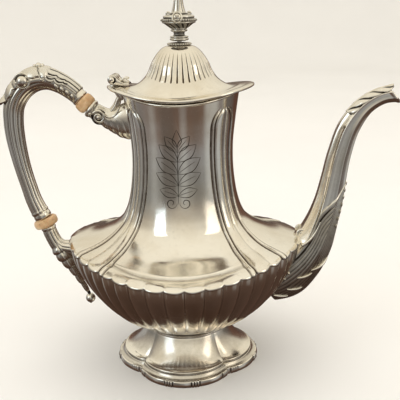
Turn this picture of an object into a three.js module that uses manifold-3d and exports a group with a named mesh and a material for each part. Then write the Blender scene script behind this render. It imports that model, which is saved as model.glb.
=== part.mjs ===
// Silver coffee pot on a quatrefoil foot: gadrooned bowl, panelled neck, gooseneck spout, insulated
// scroll handle and a hinged boat-shaped lid with an urn finial.
// Millimetres, +Z up, spout towards +X, handle towards -X.
// Each piece is laid out about the pot's own vertical axis. The finished group is then moved along X,
// so that its origin is the middle of the overall footprint, on the surface the pot stands on.
import * as THREE from "three";
import { mergeVertices } from "three/addons/utils/BufferGeometryUtils.js";
import Module from "manifold-3d";

const wasm = await Module();
wasm.setup();

// ---- Driving dimensions -------------------------------------------------------------------------

const GAP = 0.3; // clearance between pieces that touch
const WALL = 1.3; // silver sheet

// Body
const LOBES = 40; // gadroons round the bowl, nine to a quarter and one under each pilaster
const LOBE_DEPTH = 1.5;
const EDGE_R = 75; // scalloped shoulder edge
const EDGE_Z = 82.7;
const EDGE_LIFT = 4.2; // the edge rises this much at spout and handle, and falls as much at front and back
const BOWL_FLOOR_Z = 30.5;
const NECK_R = 32.3;
const NECK_Z = 145;
const MOUTH_R = 37;
const MOUTH_Z = 182.8;
const MOUTH_LIFT = 2.6;

// Foot: four circular lobes, each centred LOBE_SHIFT from the axis
const FOOT_LOBE_R = 32.6;
const FOOT_LOBE_SHIFT = 15.4;
const FOOT_R = FOOT_LOBE_R + FOOT_LOBE_SHIFT;
const FOOT_SIDES = 56;

// Lid
const FLUTES = 30;
const FLUTE_DEPTH = 0.6;
const LID_ROUND_R = 22; // inside this radius the lid is round, outside it spreads into the oval brim
const BRIM_X = 45;
const BRIM_Y = 37.4;
const BRIM_LIFT = 3;
const APEX_Z = 212.4;
const STUD_R = 1.4;

// Hinge
const HINGE = { x: -42.5, z: 192.4 };
const KNUCKLE_R = 2.9;
const KNUCKLE_HALF = 2.7; // half width of the fixed middle knuckle
const PIN_R = 0.9;

// Handle: the insulators' centres, and the directions of their axes towards the body
const UPPER_JOINT = { x: -62, z: 177, dx: 0.7, dz: -0.714, r: 6.3, half: 3.6 };
const LOWER_JOINT = { x: -94.4, z: 96.9, dx: 0.36, dz: -0.933, r: 7.9, half: 2.9 };
const TENON_R = 3.3;
const TENON_LENGTH = 5;
const HANDLE_PIN_R = 0.8;

// ---- Materials ----------------------------------------------------------------------------------

const silver = () => new THREE.MeshStandardMaterial({ color: 0xd9d2c4, roughness: 0.22, metalness: 1 });
const darkSilver = () => new THREE.MeshStandardMaterial({ color: 0x9b9486, roughness: 0.35, metalness: 1 });
const bone = () => new THREE.MeshStandardMaterial({ color: 0xcbab7c, roughness: 0.45, metalness: 0 });

// ---- Tools --------------------------------------------------------------------------------------

const clamp = (value) => Math.min(1, Math.max(0, value));

// A three.js geometry as a closed solid that faces outwards.
function solid(geometry) {
  geometry.deleteAttribute("normal");
  geometry.deleteAttribute("uv");
  const welded = mergeVertices(geometry, 1e-4);
  const source = welded.index.array;
  const corners = [];
  for (let i = 0; i < source.length; i += 3) {
    const [a, b, c] = source.slice(i, i + 3);
    if (a !== b && b !== c && c !== a) corners.push(a, b, c);
  }
  const close = (triangles) =>
    new wasm.Manifold(
      new wasm.Mesh({
        numProp: 3,
        vertProperties: welded.getAttribute("position").array,
        triVerts: new Uint32Array(triangles),
      }),
    );
  const made = close(corners);
  return made.volume() > 0 ? made : close(corners.reverse());
}

// A profile of [radius, height] points turned about Z. place(radius, height, angle) then gives each
// point its new radius, and lift(radius, height) raises it on the X sides and lowers it on the Y sides.
function turned(profile, segments, place = (r) => r, lift = () => 0) {
  const lathe = new THREE.LatheGeometry(
    profile.map(([r, z]) => new THREE.Vector2(r, z)),
    segments,
  );
  const position = lathe.getAttribute("position");
  for (let i = 0; i < position.count; i++) {
    const angle = Math.atan2(position.getZ(i), position.getX(i));
    const r = Math.hypot(position.getX(i), position.getZ(i));
    const z = position.getY(i);
    const spread = r < 1e-6 ? 0 : place(r, z, angle);
    const raised = z + lift(r, z) * Math.cos(2 * angle);
    position.setXYZ(i, spread * Math.cos(angle), spread * Math.sin(angle), raised);
  }
  return solid(lathe);
}

// A bar that follows a smooth curve in the XZ plane through rows of
// [x, z, half thickness, half width]. grow makes it fatter all round. from and to (0 to 1) keep only
// a stretch of it, and values beyond 0 and 1 carry it straight on past its ends.
function bent(rows, steps, sides, { grow = 0, from = 0, to = 1 } = {}) {
  const route = new THREE.CatmullRomCurve3(rows.map(([x, z]) => new THREE.Vector3(x, 0, z)));
  const sizes = new THREE.SplineCurve(rows.map((row) => new THREE.Vector2(row[2], row[3])));
  const profile = [[0, 0]];
  for (let i = 0; i <= steps; i++) profile.push([1, i / steps]);
  profile.push([0, 1]);
  const bar = new THREE.LatheGeometry(
    profile.map(([r, t]) => new THREE.Vector2(r, t)),
    sides,
  );
  const position = bar.getAttribute("position");
  for (let i = 0; i < position.count; i++) {
    const t = from + (to - from) * position.getY(i);
    const along = route.getTangent(clamp(t));
    const centre = route.getPoint(clamp(t)).addScaledVector(along, 100 * (t - clamp(t)));
    const size = sizes.getPoint(clamp(t));
    const across = position.getX(i) * (size.x + grow);
    const sideways = position.getZ(i) * (size.y + grow);
    position.setXYZ(i, centre.x - along.z * across, sideways, centre.z + along.x * across);
  }
  return solid(bar);
}

// A cylinder along Y.
function crossRod(x, z, radius, yFrom, yTo, sides = 16) {
  const rod = new THREE.CylinderGeometry(radius, radius, yTo - yFrom, sides);
  rod.translate(x, (yFrom + yTo) / 2, z);
  return solid(rod);
}

// A rod or barrel turned about a handle joint's axis. Its profile points are
// [radius, distance towards the body].
function aboutJoint(joint, profile, sides) {
  const barrel = new THREE.LatheGeometry(
    profile.map(([r, s]) => new THREE.Vector2(r, s)),
    sides,
  );
  const axis = new THREE.Vector3(joint.dx, 0, joint.dz).normalize();
  barrel.applyQuaternion(new THREE.Quaternion().setFromUnitVectors(new THREE.Vector3(0, 1, 0), axis));
  barrel.translate(joint.x, 0, joint.z);
  return solid(barrel);
}

// An outline in the XZ plane given as [x, z] points, made as thick as yFrom to yTo.
function plate(outline, yFrom, yTo) {
  const shape = new THREE.Shape(outline.map(([x, z]) => new THREE.Vector2(x, z)));
  const slab = new THREE.ExtrudeGeometry(shape, { depth: yTo - yFrom, bevelEnabled: false });
  slab.rotateX(Math.PI / 2);
  slab.translate(0, yTo, 0);
  return solid(slab);
}

// A box given by its two corners.
function block(low, high) {
  const size = high.map((value, i) => value - low[i]);
  const box = new THREE.BoxGeometry(...size);
  box.translate(...low.map((value, i) => value + size[i] / 2));
  return solid(box);
}

// A large box that covers everything on the (upX, upZ) side of a point in the XZ plane.
function above(x, z, upX, upZ) {
  const reach = 160;
  const box = new THREE.BoxGeometry(reach, reach, reach);
  box.translate(0, 0, reach / 2);
  box.rotateY(Math.atan2(upX, upZ));
  box.translate(x, 0, z);
  return solid(box);
}

function ball(x, y, z, radius, sides = 12) {
  const sphere = new THREE.SphereGeometry(radius, sides, sides / 2);
  sphere.translate(x, y, z);
  return solid(sphere);
}

const pot = new THREE.Group();

// Adds a solid to the pot as a named mesh.
function add(name, made, material) {
  const { numProp, vertProperties, triVerts } = made.getMesh();
  const geometry = new THREE.BufferGeometry();
  const places = new Float32Array((vertProperties.length / numProp) * 3);
  for (let i = 0; i < places.length / 3; i++) {
    places.set(vertProperties.subarray(i * numProp, i * numProp + 3), i * 3);
  }
  geometry.setAttribute("position", new THREE.BufferAttribute(places, 3));
  geometry.setIndex(new THREE.BufferAttribute(triVerts, 1));
  geometry.computeVertexNormals();
  const mesh = new THREE.Mesh(geometry, material);
  mesh.name = name;
  pot.add(mesh);
}

// ---- Plan shapes --------------------------------------------------------------------------------

// The body is a little fuller on the X and Y axes and drawn in at the four pilasters.
const fullness = (r) => 0.012 + 0.013 * clamp((r - 36) / 30);
const panelled = (r, z, angle) => r * (1 + fullness(r) * Math.cos(4 * angle));

// Gadroons stand out most at the shoulder edge.
const lobe = (angle) => Math.abs(Math.cos((LOBES / 2) * angle)) - 0.5;
const gadroon = (r, angle) => LOBE_DEPTH * clamp((r - 30) / 40) * lobe(angle);
const gadrooned = (r, z, angle) => panelled(r, z, angle) + gadroon(r, angle);
const scalloped = (r, z, angle) => panelled(r, z, angle) + (r > EDGE_R - 4 ? gadroon(r, angle) : 0);

const bowlLift = (r) => EDGE_LIFT * clamp((r - 40) / (EDGE_R - 40)) ** 1.4;
const shoulderLift = (r, z) =>
  z > NECK_Z
    ? MOUTH_LIFT * ((z - NECK_Z) / (MOUTH_Z - NECK_Z)) ** 2
    : EDGE_LIFT * Math.sqrt(clamp((r - NECK_R) / (EDGE_R - NECK_R)));

// Distance from the axis to the foot's quatrefoil outline, as a share of its longest.
function quatrefoil(angle) {
  const fromLobe = Math.abs(angle - (Math.PI / 2) * Math.round(angle / (Math.PI / 2)));
  const side = FOOT_LOBE_SHIFT * Math.sin(fromLobe);
  return (FOOT_LOBE_SHIFT * Math.cos(fromLobe) + Math.sqrt(FOOT_LOBE_R ** 2 - side ** 2)) / FOOT_R;
}
const footed = (r, z, angle) => r * (1 + (quatrefoil(angle) - 1) * clamp((r - 24) / 17));

// Lid: round in the middle, an oval brim outside.
function boat(r, z, angle) {
  if (r <= LID_ROUND_R) return r;
  const oval = 1 / Math.hypot(Math.cos(angle) / BRIM_X, Math.sin(angle) / BRIM_Y);
  return LID_ROUND_R + ((r - LID_ROUND_R) * (oval - LID_ROUND_R)) / (BRIM_X - LID_ROUND_R);
}
const brimLift = (r) => BRIM_LIFT * clamp((r - 17) / 21);
const fluted = (r, z, angle) =>
  boat(r, z, angle) - (z > 193 && z < 210 ? (FLUTE_DEPTH * (1 - Math.cos(FLUTES * angle))) / 2 : 0);

// ---- Foot ---------------------------------------------------------------------------------------

function makeFoot() {
  const rim = [
    [FOOT_R - 7, 0],
    [FOOT_R - 0.6, 0],
    [FOOT_R, 2.2],
    [FOOT_R - 0.8, 4.4],
    [FOOT_R - 3.4, 6.4],
    [FOOT_R - 7, 6.4],
    [FOOT_R - 7, 0],
  ];
  add("foot_rim", turned(rim, FOOT_SIDES, footed), silver());

  const outer = [
    [0, 5],
    [FOOT_R - 4.2, 5],
    [FOOT_R - 4.2, 8.4],
    [41.6, 9.3],
    [38.4, 11.4],
    [35.2, 14.4],
    [32.4, 17.7],
    [30.2, 21.2],
    [28.6, 24.4],
    [27.8, 26],
    [0, 26],
  ];
  const inner = [
    [0, 4],
    [40.9, 4],
    [40.4, 7.6],
    [36.8, 9.9],
    [33.4, 12.9],
    [30.5, 16.3],
    [28.2, 20],
    [26.6, 23.6],
    [22, 24],
    [22, 27],
    [0, 27],
  ];
  const ledge = block([-60, -60, 0], [60, 60, 6.4 + GAP]);
  const dome = turned(outer, FOOT_SIDES, footed).subtract(turned(inner, 40, footed)).subtract(ledge);
  add("foot_dome", dome, silver());

  const collar = [
    [21, 26 + GAP],
    [28, 26 + GAP],
    [29.2, 27.6],
    [27.6, 29],
    [27.6, BOWL_FLOOR_Z - GAP],
    [21, BOWL_FLOOR_Z - GAP],
    [21, 26 + GAP],
  ];
  add("foot_collar", turned(collar, 32), silver());
}

// ---- Body ---------------------------------------------------------------------------------------

const BOWL = [
  [0, BOWL_FLOOR_Z],
  [34, BOWL_FLOOR_Z],
  [41, 34.2],
  [46.5, 38.2],
  [55, 45.8],
  [63.6, 56],
  [69.6, 66.5],
  [73.4, 76],
  [EDGE_R, EDGE_Z - GAP],
];

const SHOULDER = [
  [EDGE_R, EDGE_Z],
  [74, 84.6],
  [67, 86],
  [62, 87.4],
  [53, 91],
  [45, 96],
  [40.2, 101],
  [37.3, 107],
  [35, 115],
  [32.8, 130],
  [NECK_R, 145],
  [34, 164],
  [MOUTH_R, MOUTH_Z],
];

// The body's outside, slightly enlarged. What is fastened to the body is cut back with this.
function bodyEnvelope() {
  const fatten = LOBE_DEPTH / 2 + GAP;
  const bowl = BOWL.map(([r, z]) => [r ? r + fatten : 0, z - GAP]);
  const neck = SHOULDER.map(([r, z], i) => [r + (i < 2 ? fatten : 2 * GAP), z + 2 * GAP]);
  const under = [...bowl, [0, EDGE_Z]];
  const over = [[0, EDGE_Z - 2], [EDGE_R + fatten, EDGE_Z - 2], ...neck, [0, MOUTH_Z]];
  return turned(under, 80, panelled, bowlLift).add(turned(over, 80, panelled, shoulderLift));
}
const envelope = bodyEnvelope();

function makeBowl() {
  const inside = [
    [0, BOWL_FLOOR_Z + WALL],
    [33.5, BOWL_FLOOR_Z + WALL],
    [39.5, 35.8],
    [52.8, 46.9],
    [61.3, 57.2],
    [67.2, 67.2],
    [EDGE_R - 2.4, EDGE_Z - GAP],
    [EDGE_R - 2.4, EDGE_Z + 8],
    [0, EDGE_Z + 8],
  ];
  let bowl = turned(BOWL.concat([[0, EDGE_Z - GAP]]), 80, gadrooned, bowlLift);
  bowl = bowl.subtract(turned(inside, 32, panelled, bowlLift));
  // Strainer holes through the wall behind the spout.
  for (const [z, count] of [[62, 2], [69, 3], [76, 2]]) {
    for (let i = 0; i < count; i++) {
      const hole = new THREE.CylinderGeometry(1.7, 1.7, 34, 8);
      hole.rotateZ(Math.PI / 2);
      hole.translate(70, 6 * (i - (count - 1) / 2), z);
      bowl = bowl.subtract(solid(hole));
    }
  }
  add("lower_bowl", bowl, silver());
}

function makeUpperBody() {
  const inside = [
    [0, EDGE_Z - 4],
    [EDGE_R - 2.2, EDGE_Z - 4],
    [EDGE_R - 2.2, 83.2],
    [61.6, 86],
    [52.2, 89.7],
    [44, 94.8],
    [38.6, 100.8],
    [33.8, 114],
    [31.4, 130],
    [NECK_R - WALL, 145],
    [32.6, 164],
    [MOUTH_R - WALL, MOUTH_Z],
    [MOUTH_R - WALL, MOUTH_Z + 6],
    [0, MOUTH_Z + 6],
  ];
  const outside = [[0, EDGE_Z], ...SHOULDER, [0, MOUTH_Z]];
  const hollow = turned(inside, 32, panelled, shoulderLift);
  add("upper_body", turned(outside, 80, scalloped, shoulderLift).subtract(hollow), silver());

  const wire = [
    [MOUTH_R + 0.5, MOUTH_Z - 2.2],
    [MOUTH_R + 1.5, MOUTH_Z - 2],
    [MOUTH_R + 2, MOUTH_Z - 1.1],
    [MOUTH_R + 1.5, MOUTH_Z - 0.2],
    [MOUTH_R + 0.5, MOUTH_Z],
    [MOUTH_R + 0.5, MOUTH_Z - 2.2],
  ];
  const seatWire = turned(wire, 40, panelled, () => MOUTH_LIFT);
  const strapSlot = block([-60, -KNUCKLE_HALF - GAP, 160], [-MOUTH_R + 4, KNUCKLE_HALF + GAP, 200]);
  add("mouth_wire", seatWire.subtract(strapSlot), silver());
}

// ---- Spout --------------------------------------------------------------------------------------

// Rows of [x, z, half thickness, half width] from inside the bowl up to the lip.
const SPOUT = [
  [54, 54, 14, 12],
  [66, 62, 18.6, 14],
  [77, 72, 16.4, 14],
  [85.5, 84, 12.8, 12.4],
  [91, 98, 10, 10.4],
  [94.5, 110, 8.8, 9.2],
  [97.5, 125, 7.8, 8.3],
  [101, 143, 7.1, 7.6],
  [107.5, 162, 6.4, 7],
  [117.5, 174.4, 5.2, 6.2],
  [127, 179.4, 4.8, 5.8],
  [141, 180.4, 4.6, 5.6],
];

function makeSpout() {
  const mouthPlane = above(135.4, 180.6, 0.91, 0.41);
  const tube = bent(SPOUT, 22, 12).subtract(bent(SPOUT, 22, 12, { grow: -WALL }));
  add("spout", tube.subtract(envelope).subtract(mouthPlane), silver());

  // Cast leaf wrapped round the outer, lower side of the root.
  const around = bent(SPOUT, 22, 12, { grow: 2 * GAP });
  const wrap = bent(SPOUT, 12, 12, { grow: 2.2, to: 0.56 }).subtract(around);
  const leaf = wrap.subtract(envelope).subtract(above(84, 84, -0.72, 0.69));
  add("spout_base_leaf", leaf, darkSilver());

  // Leaf hood over the upper half of the mouth.
  const cap = bent(SPOUT, 7, 12, { grow: 1.8, from: 0.79 }).subtract(around);
  const under = above(118, 175.6, 0.36, -0.93);
  add("spout_hood", cap.subtract(under).subtract(above(134.6, 181, 0.96, 0.28)), silver());
}

// ---- Handle -------------------------------------------------------------------------------------

const alongJoint = (joint, s) => [joint.x + joint.dx * s, joint.z + joint.dz * s];

// A pin crosses each tenon halfway along.
function jointPins(joint) {
  const reach = joint.half + GAP + TENON_LENGTH / 2;
  return { grip: alongJoint(joint, -reach), socket: alongJoint(joint, reach) };
}

function makeInsulator(name, joint) {
  const end = joint.half + TENON_LENGTH;
  const barrel = aboutJoint(
    joint,
    [
      [0, -end],
      [TENON_R, -end],
      [TENON_R, -joint.half],
      [joint.r - 1.2, -joint.half],
      [joint.r, -joint.half / 2],
      [joint.r, joint.half / 2],
      [joint.r - 1.2, joint.half],
      [TENON_R, joint.half],
      [TENON_R, end],
      [0, end],
    ],
    20,
  );
  const pins = jointPins(joint);
  const bores = [pins.grip, pins.socket].map(([x, z]) => crossRod(x, z, HANDLE_PIN_R + GAP, -9, 9, 8));
  add(name, barrel.subtract(bores[0]).subtract(bores[1]), bone());
}

// The hole in a socket or grip that takes a tenon and its pin.
// side is 1 towards the body and -1 towards the grip.
function tenonHole(joint, side) {
  const from = side * (joint.half - 1);
  const to = side * (joint.half + TENON_LENGTH + GAP);
  const hole = aboutJoint(joint, [[0, from], [TENON_R + GAP, from], [TENON_R + GAP, to], [0, to]], 16);
  const pins = jointPins(joint);
  const [x, z] = side > 0 ? pins.socket : pins.grip;
  return hole.add(crossRod(x, z, HANDLE_PIN_R + GAP, -12, 12, 8));
}

function makeHandlePin(name, [x, z], halfLength) {
  add(name, crossRod(x, z, HANDLE_PIN_R, -halfLength, halfLength, 10), silver());
}

// The space an insulator's barrel takes up, with clearance at both faces.
function jointSpace(joint) {
  const face = joint.half + GAP;
  return aboutJoint(joint, [[0, -face], [12, -face], [12, face], [0, face]], 12);
}

const GRIP = [
  [...alongJoint(UPPER_JOINT, 2 - UPPER_JOINT.half), 5.3, 5.5],
  [-70.6, 185.1, 5.8, 6],
  [-77.7, 189.8, 6.2, 6.6],
  [-86.4, 192.8, 6.8, 7.2],
  [-94.4, 192, 7.1, 7.4],
  [-101.2, 187.8, 6.9, 7.2],
  [-106, 182.2, 6.7, 6.9],
  [-109.2, 174.8, 6.4, 6.6],
  [-110.2, 166, 6.1, 6.4],
  [-109.8, 154, 5.8, 6.1],
  [-108.2, 142, 5.3, 5.8],
  [-106.4, 132.5, 5, 5.5],
  [-104, 122.5, 4.9, 5.3],
  [-101.2, 112.1, 5.1, 5.3],
  [-98.3, 105, 5.4, 5.5],
  [...alongJoint(LOWER_JOINT, 1 - LOWER_JOINT.half), 5.7, 5.8],
];

function makeGrip() {
  const tube = bent(GRIP, 24, 10).subtract(bent(GRIP, 24, 10, { grow: -WALL, from: -0.01, to: 1.01 }));
  const ends = jointSpace(UPPER_JOINT).add(jointSpace(LOWER_JOINT));
  const holes = tenonHole(UPPER_JOINT, -1).add(tenonHole(LOWER_JOINT, -1));
  add("handle_grip", tube.subtract(ends).subtract(holes), silver());

  // Cast leaf over the outer side of the crest, with a round boss on each flank.
  const around = bent(GRIP, 24, 10, { grow: GAP });
  const wrap = bent(GRIP, 12, 10, { grow: 1.7, from: 0.05, to: 0.5 }).subtract(around);
  let leaf = wrap.subtract(crossRod(-92, 175.5, 17.6, -20, 20, 32));
  for (const side of [-1, 1]) leaf = leaf.add(ball(-99.5, side * 7.6, 191.6, 3.4, 10).subtract(around));
  add("thumb_leaf", leaf, darkSilver());
}

function makeSockets() {
  const upperStart = alongJoint(UPPER_JOINT, UPPER_JOINT.half - 1);
  const upper = bent(
    [
      [...upperStart, 5.9, 6],
      [-52, 169.2, 6, 6],
      [-44.5, 166.2, 7.4, 6.6],
      [-38, 165.8, 10.8, 7.4],
      [-28, 165.8, 12.4, 8],
    ],
    9,
    12,
  );
  const upperCut = envelope.add(jointSpace(UPPER_JOINT)).add(tenonHole(UPPER_JOINT, 1));
  add("upper_handle_socket", upper.subtract(upperCut), silver());

  const lowerStart = alongJoint(LOWER_JOINT, LOWER_JOINT.half - 1);
  const tail = bent(
    [
      [...lowerStart, 4.7, 5],
      [-91.2, 87.5, 4.7, 5],
      [-88, 81, 5, 5.2],
      [-84.2, 75, 5.6, 5.6],
      [-80.4, 68.6, 4.6, 5],
      [-77, 62.5, 2.9, 4],
      [-73.8, 56, 1.9, 3],
      [-70.4, 50, 1.5, 2.2],
      [-67.6, 44.2, 1.3, 1.6],
    ],
    12,
    10,
  );
  const stub = bent([[-86, 79, 4.6, 5], [-80, 78, 5.6, 5.8], [-70, 78, 6.6, 7]], 4, 10);
  const lower = tail.add(stub).add(ball(-67.2, 0, 41.4, 3.3));
  const lowerCut = envelope.add(jointSpace(LOWER_JOINT)).add(tenonHole(LOWER_JOINT, 1));
  add("lower_handle_socket", lower.subtract(lowerCut), silver());
}

// ---- Lid ----------------------------------------------------------------------------------------

const notch = block([-60, -KNUCKLE_HALF - 1.2, 175], [-38.4, KNUCKLE_HALF + 1.2, 200]);

function makeLid() {
  const outside = [
    [0, 184.4],
    [BRIM_X, 184.4],
    [BRIM_X, 185.6],
    [38.3, 185.4],
    [31.8, 185.6],
    [25.5, 189.4],
    [21.6, 193.8],
    [17.6, 202.6],
    [13, 209.4],
    [7.6, APEX_Z],
    [0, APEX_Z],
  ];
  const inside = [
    [0, 183],
    [BRIM_X + 3, 183],
    [BRIM_X + 3, 184.3],
    [38.3, 184.2],
    [31.4, 184.4],
    [24.6, 188.4],
    [20.2, 193.2],
    [15.8, 202.4],
    [8, APEX_Z - WALL],
    [0, APEX_Z - WALL],
  ];
  const studHole = turned([[0, 205], [STUD_R + GAP, 205], [STUD_R + GAP, 220], [0, 220]], 12);
  const shell = turned(outside, 60, fluted, brimLift).subtract(turned(inside, 40, boat, brimLift));
  add("lid_shell", shell.subtract(studHole).subtract(notch), silver());

  const wire = [
    [BRIM_X + 0.5, 183.8],
    [BRIM_X + 1.5, 183.9],
    [BRIM_X + 2, 185],
    [BRIM_X + 1.5, 186],
    [BRIM_X + 0.5, 186.1],
    [BRIM_X + 0.5, 183.8],
  ];
  add("lid_rim_wire", turned(wire, 48, boat, () => BRIM_LIFT).subtract(notch), silver());

  const bezel = [
    [32.2, 176.6],
    [33.3, 176.6],
    [33.3, 183.5],
    [32.2, 183.5],
    [32.2, 176.6],
  ];
  add("lid_bezel", turned(bezel, 40, (r) => r, (r, z) => (z > 180 ? 2.6 : 0)), silver());
}

function makeHinge() {
  const { x, z } = HINGE;
  const pinBore = crossRod(x, z, PIN_R + GAP, -12, 12, 12);

  // Fixed strap: soldered up the neck, through the notch in the brim, to the middle knuckle.
  const strap = plate(
    [
      [-34, 177.4],
      [-39.4, 177.4],
      [-43.6, 183.5],
      [x - KNUCKLE_R, z],
      [x + 1.4, z - 1],
      [-39.8, 187],
      [-39.8, 181],
      [-34, 181],
    ],
    -KNUCKLE_HALF,
    KNUCKLE_HALF,
  );
  const knuckle = crossRod(x, z, KNUCKLE_R, -KNUCKLE_HALF, KNUCKLE_HALF);
  add("hinge_bracket", strap.add(knuckle).subtract(envelope).subtract(pinBore), silver());

  // Moving plate: two outer knuckles and a foot soldered to the top of the brim.
  const inner = KNUCKLE_HALF + GAP;
  const outer = 7.4;
  const ear = [[x, z + 2.4], [x, 189.6], [-39, 189], [-36.4, 189], [-36.4, 190.2], [-39, 192.2]];
  let leaf = block([-37.8, -outer, 189], [-33.4, outer, 190.2]);
  for (const side of [-1, 1]) {
    const from = side < 0 ? -outer : inner;
    const to = from + outer - inner;
    leaf = leaf.add(plate(ear, from, to)).add(crossRod(x, z, KNUCKLE_R, from, to));
  }
  add("lid_hinge_plate", leaf.subtract(pinBore), silver());

  // Small two-pronged leaf lying on the plate.
  const prongs = new THREE.Shape();
  prongs.moveTo(-36, -3.6);
  prongs.quadraticCurveTo(-33, -3.4, -31.4, -2.6);
  prongs.quadraticCurveTo(-33.4, -1.4, -34, 0);
  prongs.quadraticCurveTo(-33.4, 1.4, -31.4, 2.6);
  prongs.quadraticCurveTo(-33, 3.4, -36, 3.6);
  prongs.closePath();
  const ornament = new THREE.ExtrudeGeometry(prongs, { depth: 1.6, bevelEnabled: false, curveSegments: 4 });
  ornament.translate(0, 0, 190.2 + GAP);
  add("hinge_ornament", solid(ornament), darkSilver());

  const pin = new THREE.LatheGeometry(
    [
      [0, -9],
      [1.2, -8.8],
      [1.7, -8.2],
      [1.7, -7.7],
      [PIN_R, -7.7],
      [PIN_R, 7.7],
      [1.7, 7.7],
      [1.7, 8.2],
      [1.2, 8.8],
      [0, 9],
    ].map(([r, y]) => new THREE.Vector2(r, y)),
    12,
  );
  pin.translate(x, 0, z);
  add("hinge_pin", solid(pin), silver());
}

function makeFinial() {
  const bore = STUD_R + GAP;
  const base = APEX_Z + GAP;
  const collar = [
    [bore, base],
    [7.5, base],
    [7.7, base + 1.1],
    [7.2, base + 2.3],
    [bore, base + 2.3],
    [bore, base],
  ];
  add("finial_collar", turned(collar, 24), silver());

  const urnZ = base + 2.3 + GAP;
  const urn = turned(
    [
      [bore, urnZ],
      [5.2, urnZ],
      [5.6, 216.6],
      [3.4, 218],
      [3.3, 220],
      [5.2, 221.8],
      [6.2, 223.6],
      [8.4, 225.6],
      [11, 227.4],
      [11, 228.4],
      [9.4, 230.6],
      [4.8, 231],
      [2.5, 238.4],
      [2, 243],
      [2.7, 246],
      [0, 250],
      [0, 224],
      [bore, 224],
      [bore, urnZ],
    ],
    20,
  );
  // Two scroll ears on the rim of the urn, at the sides.
  const ears = [-8, 8].map((x) => crossRod(x, 231.6, 2, -1.5, 1.5, 12));
  add("finial", urn.add(ears[0]).add(ears[1]), darkSilver());

  const stud = [[0, 204], [STUD_R, 204], [STUD_R, 223.4], [0, 223.4]];
  add("finial_stud", turned(stud, 12), silver());
  const underside = APEX_Z - WALL - GAP;
  const washerZ = underside - 0.8;
  const washer = [[bore, washerZ], [5, washerZ], [5, underside], [bore, underside], [bore, washerZ]];
  add("finial_washer", turned(washer, 20), silver());
  const nutTop = washerZ - GAP;
  const hexagon = turned([[0, nutTop - 2.6], [3.6, nutTop - 2.6], [3.6, nutTop], [0, nutTop]], 6);
  const nutBore = turned([[0, 200], [bore, 200], [bore, 212], [0, 212]], 12);
  add("finial_nut", hexagon.subtract(nutBore), silver());
}

// ---- The pot ------------------------------------------------------------------------------------

makeFoot();
makeBowl();
makeUpperBody();
makeSpout();
makeInsulator("upper_insulator", UPPER_JOINT);
makeInsulator("lower_insulator", LOWER_JOINT);
makeGrip();
makeSockets();
makeHandlePin("upper_grip_pin", jointPins(UPPER_JOINT).grip, 5.9);
makeHandlePin("upper_socket_pin", jointPins(UPPER_JOINT).socket, 6.1);
makeHandlePin("lower_grip_pin", jointPins(LOWER_JOINT).grip, 5.9);
makeHandlePin("lower_socket_pin", jointPins(LOWER_JOINT).socket, 5.2);
makeLid();
makeHinge();
makeFinial();

const bounds = new THREE.Box3().setFromObject(pot);
pot.position.x = -(bounds.min.x + bounds.max.x) / 2;

export default pot;
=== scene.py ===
"""Silver coffee pot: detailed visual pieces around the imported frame. Piece shapes are worked out in
millimetres about the pot's own axis and placed in the row frame, in metres."""

import math

import bmesh
import bpy
import numpy as np
from mathutils import Matrix, Vector


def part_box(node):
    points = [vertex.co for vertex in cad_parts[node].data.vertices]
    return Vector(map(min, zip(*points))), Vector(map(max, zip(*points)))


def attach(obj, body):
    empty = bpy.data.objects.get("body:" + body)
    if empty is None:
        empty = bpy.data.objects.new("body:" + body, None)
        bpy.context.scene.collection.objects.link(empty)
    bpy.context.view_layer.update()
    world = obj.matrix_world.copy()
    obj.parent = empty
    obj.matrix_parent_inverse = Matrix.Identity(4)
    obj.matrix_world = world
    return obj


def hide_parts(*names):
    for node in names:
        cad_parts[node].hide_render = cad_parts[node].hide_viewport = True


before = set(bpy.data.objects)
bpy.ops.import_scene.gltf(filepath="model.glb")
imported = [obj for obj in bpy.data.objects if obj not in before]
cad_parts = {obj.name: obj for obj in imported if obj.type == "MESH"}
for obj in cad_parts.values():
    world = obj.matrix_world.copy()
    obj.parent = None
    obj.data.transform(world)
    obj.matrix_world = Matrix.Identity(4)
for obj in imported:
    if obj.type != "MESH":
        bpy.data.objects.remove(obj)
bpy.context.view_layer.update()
MM = 0.001
FOOT_LOW, FOOT_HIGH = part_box("foot_rim")
AXIS_X = (FOOT_LOW.x + FOOT_HIGH.x) / 2  # the pot's own axis in the row frame
TAU = 2 * math.pi

# ---- Numbers


def clamp(value):
    return np.clip(value, 0.0, 1.0)


def smooth(low, high, value):
    """0 below low, 1 above high, eased between them."""
    t = clamp((value - low) / (high - low))
    return t * t * (3 - 2 * t)


def hump(low, low_end, high_end, high, value):
    """0 up to low, 1 from low_end to high_end, 0 again from high on."""
    return smooth(low, low_end, value) * smooth(high, high_end, value)


def bump(distance, width):
    """A round-topped ridge that is 1 at distance 0 and 0 beyond width."""
    return np.maximum(0.0, 1 - (distance / width) ** 2)


def spline(rows, count):
    """A smooth curve through rows of numbers, timed by the distance of their first two columns."""
    rows = np.array(rows, float)
    steps = np.hypot(*np.diff(rows[:, :2], axis=0).T)
    at = np.concatenate([[0], np.cumsum(steps)])
    gap = np.diff(at)[:, None]
    slope = np.diff(rows, axis=0) / gap
    ends = np.empty_like(rows)
    ends[1:-1] = (slope[:-1] * gap[1:] + slope[1:] * gap[:-1]) / (gap[1:] + gap[:-1])
    ends[0] = 1.5 * slope[0] - 0.5 * ends[1]
    ends[-1] = 1.5 * slope[-1] - 0.5 * ends[-2]
    where = np.linspace(0, at[-1], count)
    i = np.clip(np.searchsorted(at, where, side="right") - 1, 0, len(rows) - 2)
    h = (at[i + 1] - at[i])[:, None]
    t = (where - at[i])[:, None] / h
    p, q, m, n = rows[i], rows[i + 1], ends[i], ends[i + 1]
    held = (2 * t**3 - 3 * t**2 + 1) * p + (t**3 - 2 * t**2 + t) * h * m
    return held + (3 * t**2 - 2 * t**3) * q + (t**3 - t**2) * h * n


# ---- Meshes

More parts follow.
